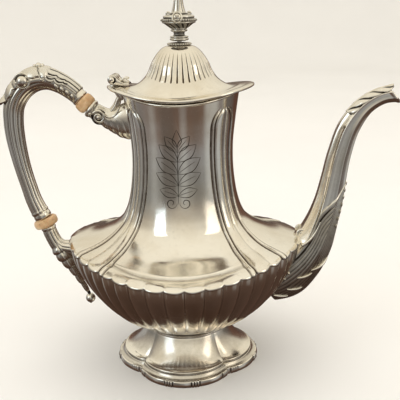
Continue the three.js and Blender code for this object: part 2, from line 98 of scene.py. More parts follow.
WELD = 2e-6  # points nearer than this, in metres, are one
INSIDE_SHADE = 0.6  # painted shade on the hidden side of a leaf


def around(columns):
    """Even angles round an axis, as a row."""
    return np.arange(columns)[None, :] * TAU / columns


def down(rows):
    """Even steps from 0 to 1, as a column."""
    return np.linspace(0, 1, rows)[:, None]


def across_leaf(columns):
    """Even steps from -1 to 1, as a row."""
    return np.linspace(-1, 1, columns)[None, :]


def grid_faces(rows, columns, wrap_rows=False):
    """Quads of a grid whose columns close on themselves."""
    a = np.arange(rows if wrap_rows else rows - 1)[:, None]
    b = np.arange(columns)[None, :]
    a2, b2 = (a + 1) % rows, (b + 1) % columns
    corners = [a * columns + b, a * columns + b2, a2 * columns + b2, a2 * columns + b]
    return np.stack(corners, -1).reshape(-1, 4).tolist()


def skin(grid, wrap_rows):
    """Vertices and faces of a tube-like grid of points, with its two ends closed if rows don't wrap."""
    rows, columns = grid.shape[:2]
    vertices = grid.reshape(-1, 3)
    faces = grid_faces(rows, columns, wrap_rows)
    for row, order in () if wrap_rows else ((0, 1), (rows - 1, -1)):
        if np.ptp(grid[row], axis=0).max() > 1e-6:
            ring = (row * columns + np.arange(columns))[::order]
            faces += [[len(vertices), int(p), int(q)] for p, q in zip(ring, np.roll(ring, -1))]
            vertices = np.vstack([vertices, grid[row].mean(0)])
    return vertices, faces


def put(name, data):
    """A new object in the scene."""
    thing = bpy.data.objects.new(name, data)
    bpy.context.scene.collection.objects.link(thing)
    return thing


def make(name, grids):
    """One closed, smooth-shaded piece of the table PIECES, from closed grids of points in millimetres.
    Each is a grid, or (grid, how much painted shade its points get, whether its rows wrap). A depth with
    fewer rows than its grid is for the first rows, and the rest get no painted shade."""
    vertices, faces, depths = [], [], []
    total = 0
    for entry in grids:
        grid, depth, wrap = entry if isinstance(entry, tuple) else (entry, 0.0, False)
        points, quads = skin(grid, wrap)
        faces += [[v + total for v in face] for face in quads]
        vertices.append(points)
        total += len(points)
        depth, values = np.atleast_2d(depth), np.zeros(grid.shape[:2])
        values[: len(depth) if len(depth) > 1 else None] = depth
        depths += [values.ravel(), np.zeros(len(points) - values.size)]
    places = np.vstack(vertices) * MM
    places[:, 0] += AXIS_X
    mesh = bpy.data.meshes.new(name)
    mesh.from_pydata(places.tolist(), [], faces)
    # Painted shade for each point, which the silver materials read to darken towards their shade colour.
    painted_shade = mesh.attributes.new("painted_shade", "FLOAT", "POINT")
    painted_shade.data.foreach_set("value", np.concatenate(depths).astype(np.float32))
    work = bmesh.new()
    work.from_mesh(mesh)
    bmesh.ops.remove_doubles(work, verts=work.verts, dist=WELD)
    bmesh.ops.recalc_face_normals(work, faces=work.faces)
    work.to_mesh(mesh)
    work.free()
    mesh.polygons.foreach_set("use_smooth", [True] * len(mesh.polygons))
    replaces, body, slot, material = PIECES[name]
    piece = put(name, mesh)
    mesh.materials.append(material)
    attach(piece, body)
    if replaces:
        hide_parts(*replaces)


def turn(profile, columns, warp=None):
    """Turns a profile of [radius, height, ...] rows about Z. warp(profile, angle) gives new radii and
    heights as arrays with a row for each profile row and a column for each angle."""
    profile = np.array(profile, float)
    angle = around(columns)
    radius, height = warp(profile, angle) if warp else (profile[:, :1], profile[:, 1:2])
    radius = np.broadcast_to(radius, (len(profile), columns))
    height = np.broadcast_to(height, (len(profile), columns))
    return np.stack([radius * np.cos(angle), radius * np.sin(angle), height], -1)


def shell(outer, inner, columns, warp):
    """Turns a shell whose outer side has the warp's relief and whose inner side is plain."""
    plain = turn(inner, columns, lambda p, a: warp(p, a, False))
    return np.concatenate([turn(outer, columns, warp), plain])


def outward(profile):
    """Unit normals of a profile, away from the axis where it climbs."""
    step = np.gradient(np.array(profile, float)[:, :2], axis=0)
    length = np.maximum(np.hypot(step[:, 0], step[:, 1]), 1e-9)
    return step[:, 1:2] / length[:, None], -step[:, 0:1] / length[:, None]


class Route:
    """A smooth path in the XZ plane through rows of [x, z, half thickness, half width]."""

    def __init__(self, rows, count):
        self.table = spline(rows, count)
        direction = np.gradient(self.table[:, :2], axis=0)
        direction /= np.hypot(direction[:, 0], direction[:, 1])[:, None]
        self.normal = np.stack([-direction[:, 1], direction[:, 0]], 1)
        self.count = count

    def at(self, t, columns):
        place = clamp(t) * (self.count - 1)
        i = np.clip(place.astype(int), 0, self.count - 2)
        share = (place - i)[..., None]
        return columns[i] * (1 - share) + columns[i + 1] * share

    def surface(self, t, angle, rise=0.0):
        """Points on the tube at t (0 to 1) and angle round it (0 on the path's left), raised by rise."""
        t, angle, rise = np.broadcast_arrays(np.asarray(t, float), angle, rise)
        row = self.at(t, self.table)
        normal = self.at(t, self.normal)
        swing = np.cos(angle) * (row[..., 2] + rise)
        wide = np.sin(angle) * (row[..., 3] + rise)
        x, z = (row[..., i] + normal[..., i] * swing for i in (0, 1))
        return np.stack([x, wide, z], -1)


def blanket(outer, inner, depth):
    """A closed sheet from matching outer and inner grids of points. depth is for the outer points."""
    both = np.concatenate([outer, inner[:, ::-1]], axis=1)
    return both, np.concatenate([depth, np.full_like(depth, INSIDE_SHADE)], axis=1), False


def leaf_on(route, t, angle, rise, under, depth):
    """A leaf that lies on a route, from under it to rise above it."""
    return blanket(route.surface(t, angle, rise), route.surface(t, angle, under), depth)


def spin(profile, base, axis, side, columns):
    """Turns [radius, distance along the axis] rows about an axis through base."""
    base, axis, side = (np.array(numbers, float) for numbers in (base, axis, side))
    angle = around(columns).T
    spoke = np.cos(angle) * side + np.sin(angle) * np.cross(axis, side)
    return np.array([base + axis * s + r * spoke for r, s in profile])


def ball(centre, radius, columns, squash=(1, 1, 1)):
    """A sphere, or one that squash draws in or out along X, Y and Z."""
    rows, angle = np.linspace(0, math.pi, columns // 2 + 1)[:, None], around(columns)
    unit = [np.sin(rows) * np.cos(angle), np.sin(rows) * np.sin(angle), np.cos(rows) + 0 * angle]
    return np.array(centre, float) + radius * np.stack(unit, -1) * np.array(squash, float)


def cord_of(points, radius, columns=10):
    """A round wire along 3-D points; radius may be one number or one for each point."""
    points = np.array(points, float)
    radius = np.broadcast_to(np.asarray(radius, float), len(points))
    along = np.gradient(points, axis=0)
    along /= np.maximum(np.linalg.norm(along, axis=1)[:, None], 1e-9)
    side = np.empty_like(points)
    start = np.array([0.0, 1.0, 0.0]) if abs(along[0, 1]) < 0.9 else np.array([1.0, 0.0, 0.0])
    for i, direction in enumerate(along):
        start = start - direction * np.dot(start, direction)
        start /= np.linalg.norm(start)
        side[i] = start
    other = np.cross(along, side)
    angle = around(columns)[..., None]
    spoke = np.cos(angle) * side[:, None] + np.sin(angle) * other[:, None]
    return points[:, None] + radius[:, None, None] * spoke


# ---- Materials


class Nodes:
    """Short names for building the node tree of a material or a world."""

    def __init__(self, owner):
        owner.use_nodes = True
        self.owner = owner
        self.tree = owner.node_tree
        self.places = self.add("ShaderNodeTexCoord").outputs

    def shader(self, **values):
        """Sets inputs of the material's shader, named with _ for a space, to numbers or sockets."""
        for name, value in values.items():
            self.set(self.tree.nodes["Principled BSDF"].inputs[name.replace("_", " ")], value)

    def add(self, kind, **settings):
        node = self.tree.nodes.new(kind)
        for key, value in settings.items():
            setattr(node, key, value)
        return node

    def set(self, target, source):
        """Links a socket to an input, or sets it to a number or a colour."""
        if isinstance(source, bpy.types.NodeSocket):
            self.tree.links.new(source, target)
        else:
            target.default_value = (*source, 1) if isinstance(source, tuple) else source

    def math(self, operation, *values):
        node = self.add("ShaderNodeMath", operation=operation)
        for target, value in zip(node.inputs, values):
            self.set(target, value)
        return node.outputs[0]

    def noise(self, scale, detail, rough, stretch=None, distortion=0.0):
        node = self.add("ShaderNodeTexNoise")
        values = {"Scale": scale, "Detail": detail, "Roughness": rough, "Distortion": distortion}
        for name, value in values.items():
            node.inputs[name].default_value = value
        source = self.places["Object"]
        if stretch:
            mapping = self.add("ShaderNodeMapping")
            mapping.inputs["Scale"].default_value = stretch
            self.set(mapping.inputs["Vector"], source)
            source = mapping.outputs["Vector"]
        self.set(node.inputs["Vector"], source)
        return node.outputs["Fac"]

    def ramp(self, source, stops):
        node = self.add("ShaderNodeValToRGB")
        elements = node.color_ramp.elements
        while len(elements) < len(stops):
            elements.new(0.5)
        for element, (position, colour) in zip(elements, stops):
            element.position = position
            element.color = (*colour, 1)
        self.set(node.inputs["Fac"], source)
        return node.outputs["Color"]

    def grey(self, source, low, high, start, end):
        return self.ramp(source, [(start, (low,) * 3), (end, (high,) * 3)])

    def mix(self, factor, a, b):
        node = self.add("ShaderNodeMix", data_type="RGBA")
        for target, value in ((0, factor), (6, a), (7, b)):
            self.set(node.inputs[target], value)
        return node.outputs[2]

    def bumps(self, *heights):
        """Chained bump nodes from (height source, strength, distance in metres)."""
        last = None
        for source, strength, distance in heights:
            node = self.add("ShaderNodeBump")
            node.inputs["Strength"].default_value = strength
            node.inputs["Distance"].default_value = distance
            self.set(node.inputs["Height"], source)
            if last:
                self.set(node.inputs["Normal"], last)
            last = node.outputs["Normal"]
        self.shader(Normal=last)


def silver(name, bright, tarnish, shade, rough=(0.09, 0.2), wave=0.25):
    """Polished silver: tarnish in clouds, painted shade in the recesses, hair scratches and soft dents."""
    n = Nodes(bpy.data.materials.new(name))
    # The per-point attribute read here is painted shade, darkest in recesses, creases and undersides.
    depth = n.add("ShaderNodeAttribute", attribute_name="painted_shade").outputs["Fac"]
    metal = n.mix(n.grey(n.noise(28, 5, 0.6), 0.0, 1.0, 0.42, 0.72), bright, tarnish)
    speck = n.grey(n.noise(420, 3, 0.6), 0.0, 0.45, 0.6, 0.8)
    metal = n.mix(speck, metal, tuple(c * 0.8 for c in tarnish))
    # Noise that makes the painted shade patchy.
    shade_patchiness = n.grey(n.noise(150, 4, 0.7), 0.75, 1.25, 0.3, 0.7)
    in_shade = n.grey(n.math("MULTIPLY", depth, shade_patchiness), 0.0, 1.0, 0.08, 0.8)
    scratch = n.noise(900, 2, 0.5, stretch=(1.0, 1.0, 0.06), distortion=0.4)
    cross = n.noise(700, 2, 0.5, stretch=(0.08, 0.5, 1.0), distortion=0.8)
    smear = n.grey(n.noise(60, 5, 0.6), *rough, 0.35, 0.7)
    rough = n.math("ADD", smear, n.grey(scratch, 0.0, 0.06, 0.55, 0.75))
    dull = n.math("MULTIPLY_ADD", in_shade, 0.25, rough)
    n.shader(Base_Color=n.mix(in_shade, metal, shade), Metallic=1.0, Roughness=dull)
    n.bumps((n.noise(22, 2, 0.5), wave, 0.0012), (scratch, 0.04, 0.00012), (cross, 0.03, 0.00012))
    return n.owner


def bone_material():
    n = Nodes(bpy.data.materials.new("aged_bone"))
    grain = n.noise(160, 6, 0.65, stretch=(1.0, 0.35, 1.0), distortion=0.6)
    colours = [(0.3, (0.41, 0.235, 0.11)), (0.5, (0.60, 0.395, 0.215)), (0.72, (0.71, 0.53, 0.345))]
    patch = n.grey(n.noise(70, 3, 0.5), 0.0, 0.6, 0.45, 0.75)
    colour = n.mix(patch, n.ramp(grain, colours), (0.50, 0.29, 0.13))
    pores = n.grey(n.noise(900, 2, 0.5, stretch=(1.0, 0.2, 1.0)), 0.0, 0.55, 0.62, 0.75)
    sheen = n.grey(n.noise(200, 3, 0.5), 0.32, 0.55, 0.3, 0.7)
    n.shader(Base_Color=n.mix(pores, colour, (0.16, 0.08, 0.035)), Roughness=sheen)
    n.shader(Subsurface_Weight=0.12, Subsurface_Scale=0.002)
    n.bumps((grain, 0.25, 0.0003), (n.noise(900, 2, 0.5), 0.1, 0.0001))
    return n.owner


# Each has its bright, its tarnished and its shaded colour.
SILVER = silver("polished_silver", (0.95, 0.915, 0.84), (0.84, 0.77, 0.65), (0.12, 0.09, 0.065))
# The same silver painted darker for the bowl, which faces down, with a darker shaded colour too: painted
# shade.
DARKENED_BOWL_SILVER = silver("bowl_silver_painted_darker", (0.86, 0.82, 0.75), (0.74, 0.66, 0.54), (0.05, 0.035, 0.025))
CHASED = silver("chased_silver", (0.9, 0.87, 0.8), (0.76, 0.7, 0.58), (0.035, 0.026, 0.02), (0.14, 0.28), 0.3)
PLAIN = silver("seam_silver", (0.8, 0.76, 0.7), (0.66, 0.6, 0.5), (0.1, 0.08, 0.06), (0.2, 0.35))
# Dark silver for the engraved lines: painted shade of the cuts, on ribbons that stand just proud of the
# metal.
ENGRAVED_LINE_SHADE = silver(
    "engraved_line_painted_shade", (0.30, 0.28, 0.26), (0.22, 0.19, 0.16), (0.10, 0.085, 0.07), (0.4, 0.6), 0.1
)
BONE = bone_material()

# Each visual piece: the CAD nodes it replaces, the body it rides on, its slot and its material.
PIECES = {
    "foot_moulding": (["foot_rim"], "pot", "silver", SILVER),
    "foot_dome_lobed": (["foot_dome"], "pot", "silver", SILVER),
    "foot_collar_ring": (["foot_collar"], "pot", "silver", SILVER),
    "gadrooned_bowl": (["lower_bowl"], "pot", "silver", DARKENED_BOWL_SILVER),
    "neck_and_shoulder": (["upper_body"], "pot", "silver", SILVER),
    "mouth_bead": (["mouth_wire"], "pot", "silver", SILVER),
    "engraved_spray": ([], "pot", "silver", ENGRAVED_LINE_SHADE),
    "gooseneck": (["spout"], "pot", "silver", SILVER),
    "spout_acanthus": (["spout_base_leaf"], "pot", "chased_silver", CHASED),
    "spout_hood_leaf": (["spout_hood"], "pot", "silver", CHASED),
    "upper_bone_washer": (["upper_insulator"], "pot", "bone", BONE),
    "lower_bone_washer": (["lower_insulator"], "pot", "bone", BONE),
    "reeded_grip": (["handle_grip"], "pot", "silver", SILVER),
    "thumb_acanthus": (["thumb_leaf"], "pot", "chased_silver", CHASED),
    "upper_socket_cast": (["upper_handle_socket"], "pot", "silver", CHASED),
    "lower_socket_cast": (["lower_handle_socket"], "pot", "silver", CHASED),
    "fluted_lid": (["lid_shell"], "lid", "silver", SILVER),
    "brim_roll": (["lid_rim_wire"], "lid", "silver", SILVER),
    "lid_bezel_ring": (["lid_bezel"], "lid", "silver", PLAIN),
    "hinge_fixed_part": (["hinge_bracket"], "pot", "silver", CHASED),
    "hinge_pin_headed": (["hinge_pin"], "pot", "silver", SILVER),
    "hinge_moving_part": (["lid_hinge_plate"], "lid", "silver", CHASED),
    "hinge_prongs": (["hinge_ornament"], "lid", "chased_silver", CHASED),
    "finial_collar_ring": (["finial_collar"], "lid", "silver", CHASED),
    "urn_finial": (["finial"], "lid", "chased_silver", CHASED),
}
PLAIN_NODES = "upper_grip_pin upper_socket_pin lower_grip_pin lower_socket_pin"
PLAIN_NODES += " finial_stud finial_washer finial_nut"
for node_name in PLAIN_NODES.split():
    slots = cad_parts[node_name].data.materials
    slots.clear()
    slots.append(PLAIN)

# ---- Body

LOBES = 40
BODY_COLUMNS = LOBES * 18
BODY_WALL = 1.1
MOUTH_LIFT = 2.6  # rise of the mouth's edge at spout and handle


def lobe_share(angle):
    """-1 to 1 across each gadroon; one is centred at angle 0."""
    turn_share = angle * LOBES / TAU
    return 2 * (turn_share - np.round(turn_share))


def from_front(angle):
    """Degrees from the middle of the front or the back panel."""
    degrees = np.degrees(angle) + 90
    return np.abs((degrees + 90) % 180 - 90)


# Rows: radius, height, fullness on the axes, rise at spout and handle, pilaster centre and half width
# in degrees from the panel's middle, from the shoulder edge to the mouth.
SHOULDER = [
    (74.8, 82.5, 0.025, 4.2, 49.8, 9.3), (75.0, 83.1, 0.025, 4.2, 49.8, 9.3),
    (74.7, 83.6, 0.025, 4.2, 49.8, 9.3), (73.6, 84.2, 0.025, 4.2, 50.0, 9.3),
    (71.0, 85.1, 0.024, 4.0, 50.2, 9.3), (67.0, 86.1, 0.024, 3.8, 50.6, 9.4),
    (62.0, 87.4, 0.022, 3.2, 51.4, 9.4), (53.0, 91.0, 0.022, 2.6, 53.0, 9.5),
    (45.0, 96.0, 0.022, 2.0, 55.5, 9.8), (40.2, 101.0, 0.022, 1.5, 57.0, 10.2),
    (37.3, 107.0, 0.020, 1.0, 57.5, 10.8), (35.0, 115.0, 0.018, 0.6, 57.3, 11.4),
    (33.2, 127.0, 0.014, 0.3, 56.5, 12.0), (32.4, 139.0, 0.012, 0.0, 56.0, 12.4),
    (32.6, 152.0, 0.012, 0.0, 55.5, 12.6), (34.2, 166.0, 0.012, 0.6, 55.0, 12.8),
    (36.9, 182.8, 0.012, MOUTH_LIFT, 55.0, 12.8),
]
ARCH_Z = 164.0
ARCH_HEIGHT = 11.0


def shoulder_relief(profile, angle):
    """Height of the chased relief above the plain surface, and how much painted shade each point gets."""
    r, z = profile[:, :1], profile[:, 1:2]
    centre, half = profile[:, 4:5], profile[:, 5:6]
    away = from_front(angle)
    arch = clamp((z - ARCH_Z) / ARCH_HEIGHT)
    half = half * np.sqrt(np.maximum(1 - arch**2, 1e-4))
    mm = np.radians(1.0) * r  # millimetres to a degree
    side = np.abs(away - centre) - half  # degrees outside the pilaster's border groove
    reed = np.maximum(3.3, 2.7 / mm)
    strength = smooth(0.0, 0.06, 1 - arch)
    groove = bump(side * mm, 1.05)
    outer_groove = bump((side - reed) * mm, 0.85)
    bead = np.where((side > 0) & (side < reed), np.sin(np.pi * clamp(side / reed)), 0.0)
    inside = clamp(-side / np.maximum(half, 1e-3))
    split = smooth(98, 112, z)
    middle = bump((away - centre) * mm, 0.9) * (0.35 + 0.65 * split)
    swell = np.where(side < 0, np.sqrt(clamp(1 - (1 - inside) ** 2)), 0.0)
    two = np.abs(np.sin(np.pi * clamp((away - centre) / np.maximum(half, 1e-3) * 0.5 + 0.5) * 2))
    swell = swell * (0.55 + 0.45 * two)
    fade = smooth(176.5, 172.5, z)
    height = 0.95 * swell + 0.65 * bead - 0.7 * groove - 0.5 * outer_groove - 0.45 * middle
    height = strength * fade * height
    # Painted shade in the border grooves and the middle line.
    painted_shade = strength * fade * np.maximum(np.maximum(groove, outer_groove * 0.75), middle * 0.6)
    # The flange outside the panels: a soft crease, then a lobe over each gadroon.
    front = smooth(2.0, 0.0, away - (centre - half - reed))
    crease = bump(r - 66.6, 2.2) * front
    height = height - 0.3 * crease + 0.3 * front * smooth(66.6, 63.5, r) * smooth(52, 60, r)
    # The flange's crease gets painted shade too.
    return height, np.maximum(painted_shade, 0.3 * crease)


def body_warp(profile, angle, relief=True):
    r, z, full, lift = (profile[:, i : i + 1] for i in range(4))
    away, up = outward(profile)
    height = shoulder_relief(profile, angle)[0] if relief else 0.0
    t = lobe_share(angle)
    edge = smooth(69.5, 75.0, r) ** 2 * (z < 100)
    arc = np.sqrt(1 - (0.97 * t) ** 2) - 0.5
    radius = r * (1 + full * np.cos(4 * angle)) + away * height + 1.9 * arc * edge
    return radius, z + lift * np.cos(2 * angle) + up * height - 1.3 * arc * edge


def make_upper_body():
    outer = spline(SHOULDER, 190)
    away, up = outward(outer)
    inner = outer[::-7].copy()
    inner[:, 0] -= BODY_WALL * away[::-7, 0]
    inner[:, 1] -= BODY_WALL * up[::-7, 0]
    inner = inner[inner[:, 0] < 73.2]
    base = [(73.6, 82.0, 0.025, 4.2, 50, 9.3), (74.8, 82.1, 0.025, 4.2, 50, 9.3)]
    grid = shell(outer, np.vstack([inner, base]), BODY_COLUMNS, body_warp)
    make("neck_and_shoulder", [(grid, shoulder_relief(outer, around(BODY_COLUMNS))[1], True)])


# Rows: radius, height, fullness, rise, from the flare above the collar up to the shoulder edge.
BOWL = [
    (36.0, 32.2, 0.0, 0.0), (39.0, 33.0, 0.0, 0.0), (40.6, 34.0, 0.0, 0.0), (41.2, 35.0, 0.0, 0.1),
    (43.0, 36.4, 0.0, 0.2), (46.0, 38.5, 0.0, 0.3), (54.3, 45.5, 0.01, 1.0), (63.3, 56.0, 0.015, 2.0),
    (69.5, 66.0, 0.020, 3.0), (73.3, 75.5, 0.025, 4.0), (74.2, 82.0, 0.025, 4.2),
]


def bowl_relief(profile, angle):
    r, z = profile[:, :1], profile[:, 1:2]
    t = lobe_share(angle)
    arc = np.sqrt(1 - (0.975 * t) ** 2)
    tip = smooth(0.0, 2.6, r - 40.4 - 2.0 * t**2)
    depth = 2.5 * (r / 74) ** 0.65
    height = depth * (arc * tip - 0.6) * smooth(38.0, 42.5, r)
    # Painted shade at the edges between gadroons and in a band just under the shoulder's edge.
    painted_shade = smooth(0.9, 1.0, np.abs(t)) * tip * 0.3 + 0.5 * smooth(80.5, 83, z)
    return height, painted_shade


def bowl_warp(profile, angle, relief=True):
    r, z, full, lift = (profile[:, i : i + 1] for i in range(4))
    away, up = outward(profile)
    height = bowl_relief(profile, angle)[0] if relief else 0.0
    return r * (1 + full * np.cos(4 * angle)) + away * height, z + lift * np.cos(2 * angle) + up * height


def make_bowl():
    outer = spline(BOWL, 110)
    inner = [
        (72.2, 81.9, 0.025, 4.2), (71.3, 75.0, 0.024, 4.0), (67.4, 66.4, 0.02, 3.0), (61.3, 57.2, 0.015, 2.0),
        (52.8, 46.9, 0.01, 1.0), (44.0, 39.8, 0.0, 0.3), (36.0, 34.4, 0.0, 0.0),
    ]
    inside = np.vstack([spline(inner, 26), [(20.0, 32.2, 0, 0), (0.0, 32.0, 0, 0)]])
    under = [(0.0, 30.6), (28.0, 30.6), (30.4, 30.8), (33.0, 31.4)]
    grid = np.concatenate([turn(under, BODY_COLUMNS), shell(outer, inside, BODY_COLUMNS, bowl_warp)])
    painted_shade = bowl_relief(outer, around(BODY_COLUMNS))[1]
    make("gadrooned_bowl", [(grid, np.vstack([np.zeros((len(under), BODY_COLUMNS)), painted_shade]), False)])


# Radius and height of the pot's plain outer surface.
OUTLINE = np.array([row[:2] for row in BOWL[3:] + SHOULDER[3:]])


def body_reach(z, angle):
    """Radius of the pot's outer surface at a height, for joining the spout and the sockets to it."""
    lifted = z - 3.6 * np.cos(2 * angle) * smooth(140, 80, z) * smooth(30, 80, z)
    return np.interp(lifted, OUTLINE[:, 1], OUTLINE[:, 0]) * (1 + 0.018 * np.cos(4 * angle))


def buried(points):
    """Millimetres by which points lie inside the pot's outer surface."""
    x, y, z = points[..., 0], points[..., 1], points[..., 2]
    return body_reach(z, np.arctan2(y, x)) - np.hypot(x, y)


def trim(route, angle, deep, from_start=True, reach=0.5):
    """For each angle round a route, the t at which it leaves the body (or meets it, at the end)."""
    t = np.linspace(0, reach, 240)[:, None]
    if not from_start:
        t = 1 - t
    inside = buried(route.surface(t, angle)) > deep
    last = np.where(inside.any(0), len(t) - 1 - np.argmax(inside[::-1], axis=0), 0)
    return t[last, 0][None, :]


def on_body(across, up, rise):
    """A point of the front panel: across and up in millimetres, rise above the metal."""
    radius = np.interp(up, OUTLINE[:, 1], OUTLINE[:, 0])
    swing = across / radius
    angle = swing - math.pi / 2
    reach = radius * (1 + 0.0125 * np.cos(4 * angle)) + rise
    return np.stack([reach * np.cos(angle), reach * np.sin(angle), up + 0 * swing], -1)


def ribbon(path, width):
    """A thin engraved line on the front panel along [across, up] points, swelling in its middle. It is a dark
    ribbon just proud of the metal, painted as the shade in a cut.
    """
    path = np.array(path, float)
    step = np.gradient(path, axis=0)
    step /= np.hypot(step[:, 0], step[:, 1])[:, None]
    side = np.stack([-step[:, 1], step[:, 0]], 1)
    share = np.linspace(0, 1, len(path))
    half = (width * (0.3 + 0.7 * np.sin(math.pi * share)) / 2)[:, None]
    rows = []
    for shift, rise in ((-1, 0.05), (1, 0.05), (1, -0.25), (-1, -0.25)):
        place = path + side * half * shift
        rows.append(on_body(place[:, 0], place[:, 1], rise))
    return np.stack(rows, 1)


SPRAY_MIDDLE = 141.0
# Leaves of the spray: where each springs from the stem, how far out and how far up its tip lies.
LEAF_PAIRS = [(-17, 12.0, 3.0), (-10.5, 14.5, 6.5), (-3.5, 14.5, 9.0), (4.0, 12.0, 10.0), (10.0, 8.0, 9.5)]


def make_engraving():
    """A plain leafy spray, the same on both sides of its stem."""
    lines = [([(0, -22), (0.0, -8), (0.0, 6), (0.0, 13)], 0.5)]
    lines += [(spline([(0, 13), (m * 2.7, 17), (m * 1.6, 20.5), (0, 24)], 30), 0.45) for m in (-1, 1)]
    swing = np.linspace(0, 1.2 * TAU, 50)
    for mirror in (-1, 1):
        for base, span, rise in LEAF_PAIRS:
            root = np.array((0.0, base))
            leaf = np.array((mirror * span, base + rise)) - root
            off = np.array([-leaf[1], leaf[0]]) * mirror
            for bend, width, reach in ((0.27, 0.45, 1.0), (-0.2, 0.45, 1.0), (0.04, 0.3, 0.75)):
                shallow = root + leaf * 0.2 * reach + off * bend * 0.62
                middle = root + leaf * 0.5 * reach + off * bend
                lines.append((spline([root, shallow, middle, root + leaf * reach + off * 0.04], 30), width))
        size = 3.6 * (1 - 0.75 * swing / swing[-1])
        scroll = [mirror * (4.4 - size * np.cos(swing)), -21.5 - size * np.sin(swing)]
        lines.append((np.stack(scroll, 1), 0.5))
    grids = []
    for points, width in lines:
        points = spline(points, 40) if len(points) < 20 else points
        # Each line is fully darkened as painted shade.
        grids.append((ribbon(points + np.array([0.0, SPRAY_MIDDLE]), width), 1.0, False))
    make("engraved_spray", grids)


def wire_profile(radius, height, wide, high, count):
    """The section of a wire that runs round the pot."""
    swing = np.linspace(0, TAU, count + 1)[:-1]
    return np.stack([radius + wide * np.cos(swing), height + high * np.sin(swing)], 1)


def make_mouth_wire():
    def warp(p, a):
        return p[:, :1] * (1 + 0.012 * np.cos(4 * a)), p[:, 1:2] + MOUTH_LIFT * np.cos(2 * a)

    make("mouth_bead", [(turn(wire_profile(37.3, 182.1, 0.75, 0.8, 14), 240, warp), 0.0, True)])


# ---- Foot

FOOT_LOBE_R = 32.6
FOOT_SHIFT = 15.4
FOOT_R = FOOT_LOBE_R + FOOT_SHIFT
FOOT_COLUMNS = 720


def lobe_angle(angle):
    """Angle from the middle of the nearest foot lobe."""
    return np.abs(angle - (math.pi / 2) * np.round(angle / (math.pi / 2)))


def quatrefoil(angle, blend):
    """The foot's plan as a share of its radius: round where blend is 0 and four lobes where it is 1."""
    a = lobe_angle(angle)
    reach = FOOT_SHIFT * np.cos(a) + np.sqrt(FOOT_LOBE_R**2 - (FOOT_SHIFT * np.sin(a)) ** 2)
    return 1 + (reach / FOOT_R - 1) * blend


def foot_warp(p, a):
    r = p[:, :1]
    return r * quatrefoil(a, clamp((r - 24) / 17)), p[:, 1:2]


def ties(angle):
    """The foot's three raised bands at each tie, the grooves beside them and the swelling between ties."""
    offset = np.degrees(lobe_angle(angle))
    near = np.minimum(np.abs(offset - 10.7), np.abs(offset - 39.5)) * 0.82
    bands = bump(near, 0.75) + bump(near - 1.7, 0.75)
    gaps = bump(near - 0.85, 0.38) + bump(near - 2.7, 0.6)
    bulge = np.where(offset < 10.7, 1 - (offset / 10.7) ** 2, 1 - ((offset - 25.1) / 14.4) ** 2)
    return bands, gaps, clamp(bulge)


def make_foot_moulding():
    count = 18
    swing = np.linspace(0.2, math.pi - 0.15, count)
    roll = np.stack([47.6 + 0.7 * np.sin(swing), 2.1 - 2.1 * np.cos(swing)], 1)
    cove = spline([(47.0, 4.3), (46.1, 4.5), (45.1, 5.1), (44.4, 6.0), (44.15, 6.5)], 10)
    profile = np.vstack([[(41.2, 0.0), (46.9, 0.0)], roll, cove, [(43.2, 6.55), (41.2, 6.55)]])
    on_roll = np.zeros((len(profile), 1))
    on_roll[2 : 2 + count] = np.sin(np.pi * np.linspace(0.04, 0.96, count))[:, None] ** 0.5

    def warp(p, a):
        bands, gaps, bulge = ties(a)
        radius, height = foot_warp(p, a)
        add = on_roll * (0.9 * bands - 0.75 * gaps + 0.7 * bulge - 0.55)
        return radius + add, height + 0.5 * add * (p[:, 1:2] > 2.2)

    # Painted shade in the grooves beside the ties' bands and in the cove.
    depth = on_roll * clamp(ties(around(FOOT_COLUMNS))[1])
    depth[2 + count : 2 + count + len(cove)] = 0.3
    make("foot_moulding", [(turn(profile, FOOT_COLUMNS, warp), depth, True)])


def make_foot_dome():
    outer = [
        (43.9, 6.7), (43.7, 7.5), (44.1, 8.1), (43.9, 8.6), (43.2, 8.8), (41.6, 9.5), (38.4, 11.5),
        (35.2, 14.4), (32.4, 17.7), (30.2, 21.2), (28.8, 24.2), (28.4, 25.2), (28.6, 25.8), (27.9, 26.3),
        (26.0, 26.4),
    ]
    inner = [
        (24.0, 26.2), (25.6, 24.0), (27.6, 20.0), (30.2, 16.2), (33.2, 12.8), (36.8, 9.8), (40.6, 7.6),
        (41.4, 6.8),
    ]
    profile = np.vstack([spline(outer, 96), inner])

    def valley(p, a, width):
        """The crease between two lobes of the foot."""
        share = lobe_angle(a) / (math.pi / 4)
        return np.exp(-(((1 - share) / width) ** 2)) * clamp((p[:, :1] - 29) / 14)

    def warp(p, a):
        radius, height = foot_warp(p, a)
        return radius - 0.7 * valley(p, a, 0.08), height

    # Painted shade in the creases between the lobes, on the inner side and the lowest rows; above 12 mm the
    # dome is darkened a little as a painted dark reflection of the bowl.
    depth = 0.45 * valley(profile, around(FOOT_COLUMNS), 0.05)
    depth = np.maximum(depth, 0.2 * smooth(9.0, 12.0, profile[:, 1:2]))
    depth[-len(inner) :] = 0.5
    depth[:4] = 0.4
    make("foot_dome_lobed", [(turn(profile, FOOT_COLUMNS, warp), depth, True)])


def make_foot_collar():
    rows = [
        (25.0, 26.6), (27.0, 26.6), (27.6, 27.2), (27.2, 28.0), (27.6, 28.7), (28.6, 29.1), (28.6, 29.8),
        (27.4, 30.3), (25.0, 30.4),
    ]
    profile = np.vstack([spline(rows, 30), [(22.6, 30.4), (22.6, 26.6)]])
    depth = np.zeros((len(profile), 1))
    # Painted shade on the collar's lower rows, its top and its inner side, which sit under the bowl.
    depth[:12] = 0.5
    depth[-8:] = 0.6
    make("foot_collar_ring", [(turn(profile, 160), depth, True)])


# ---- Spout

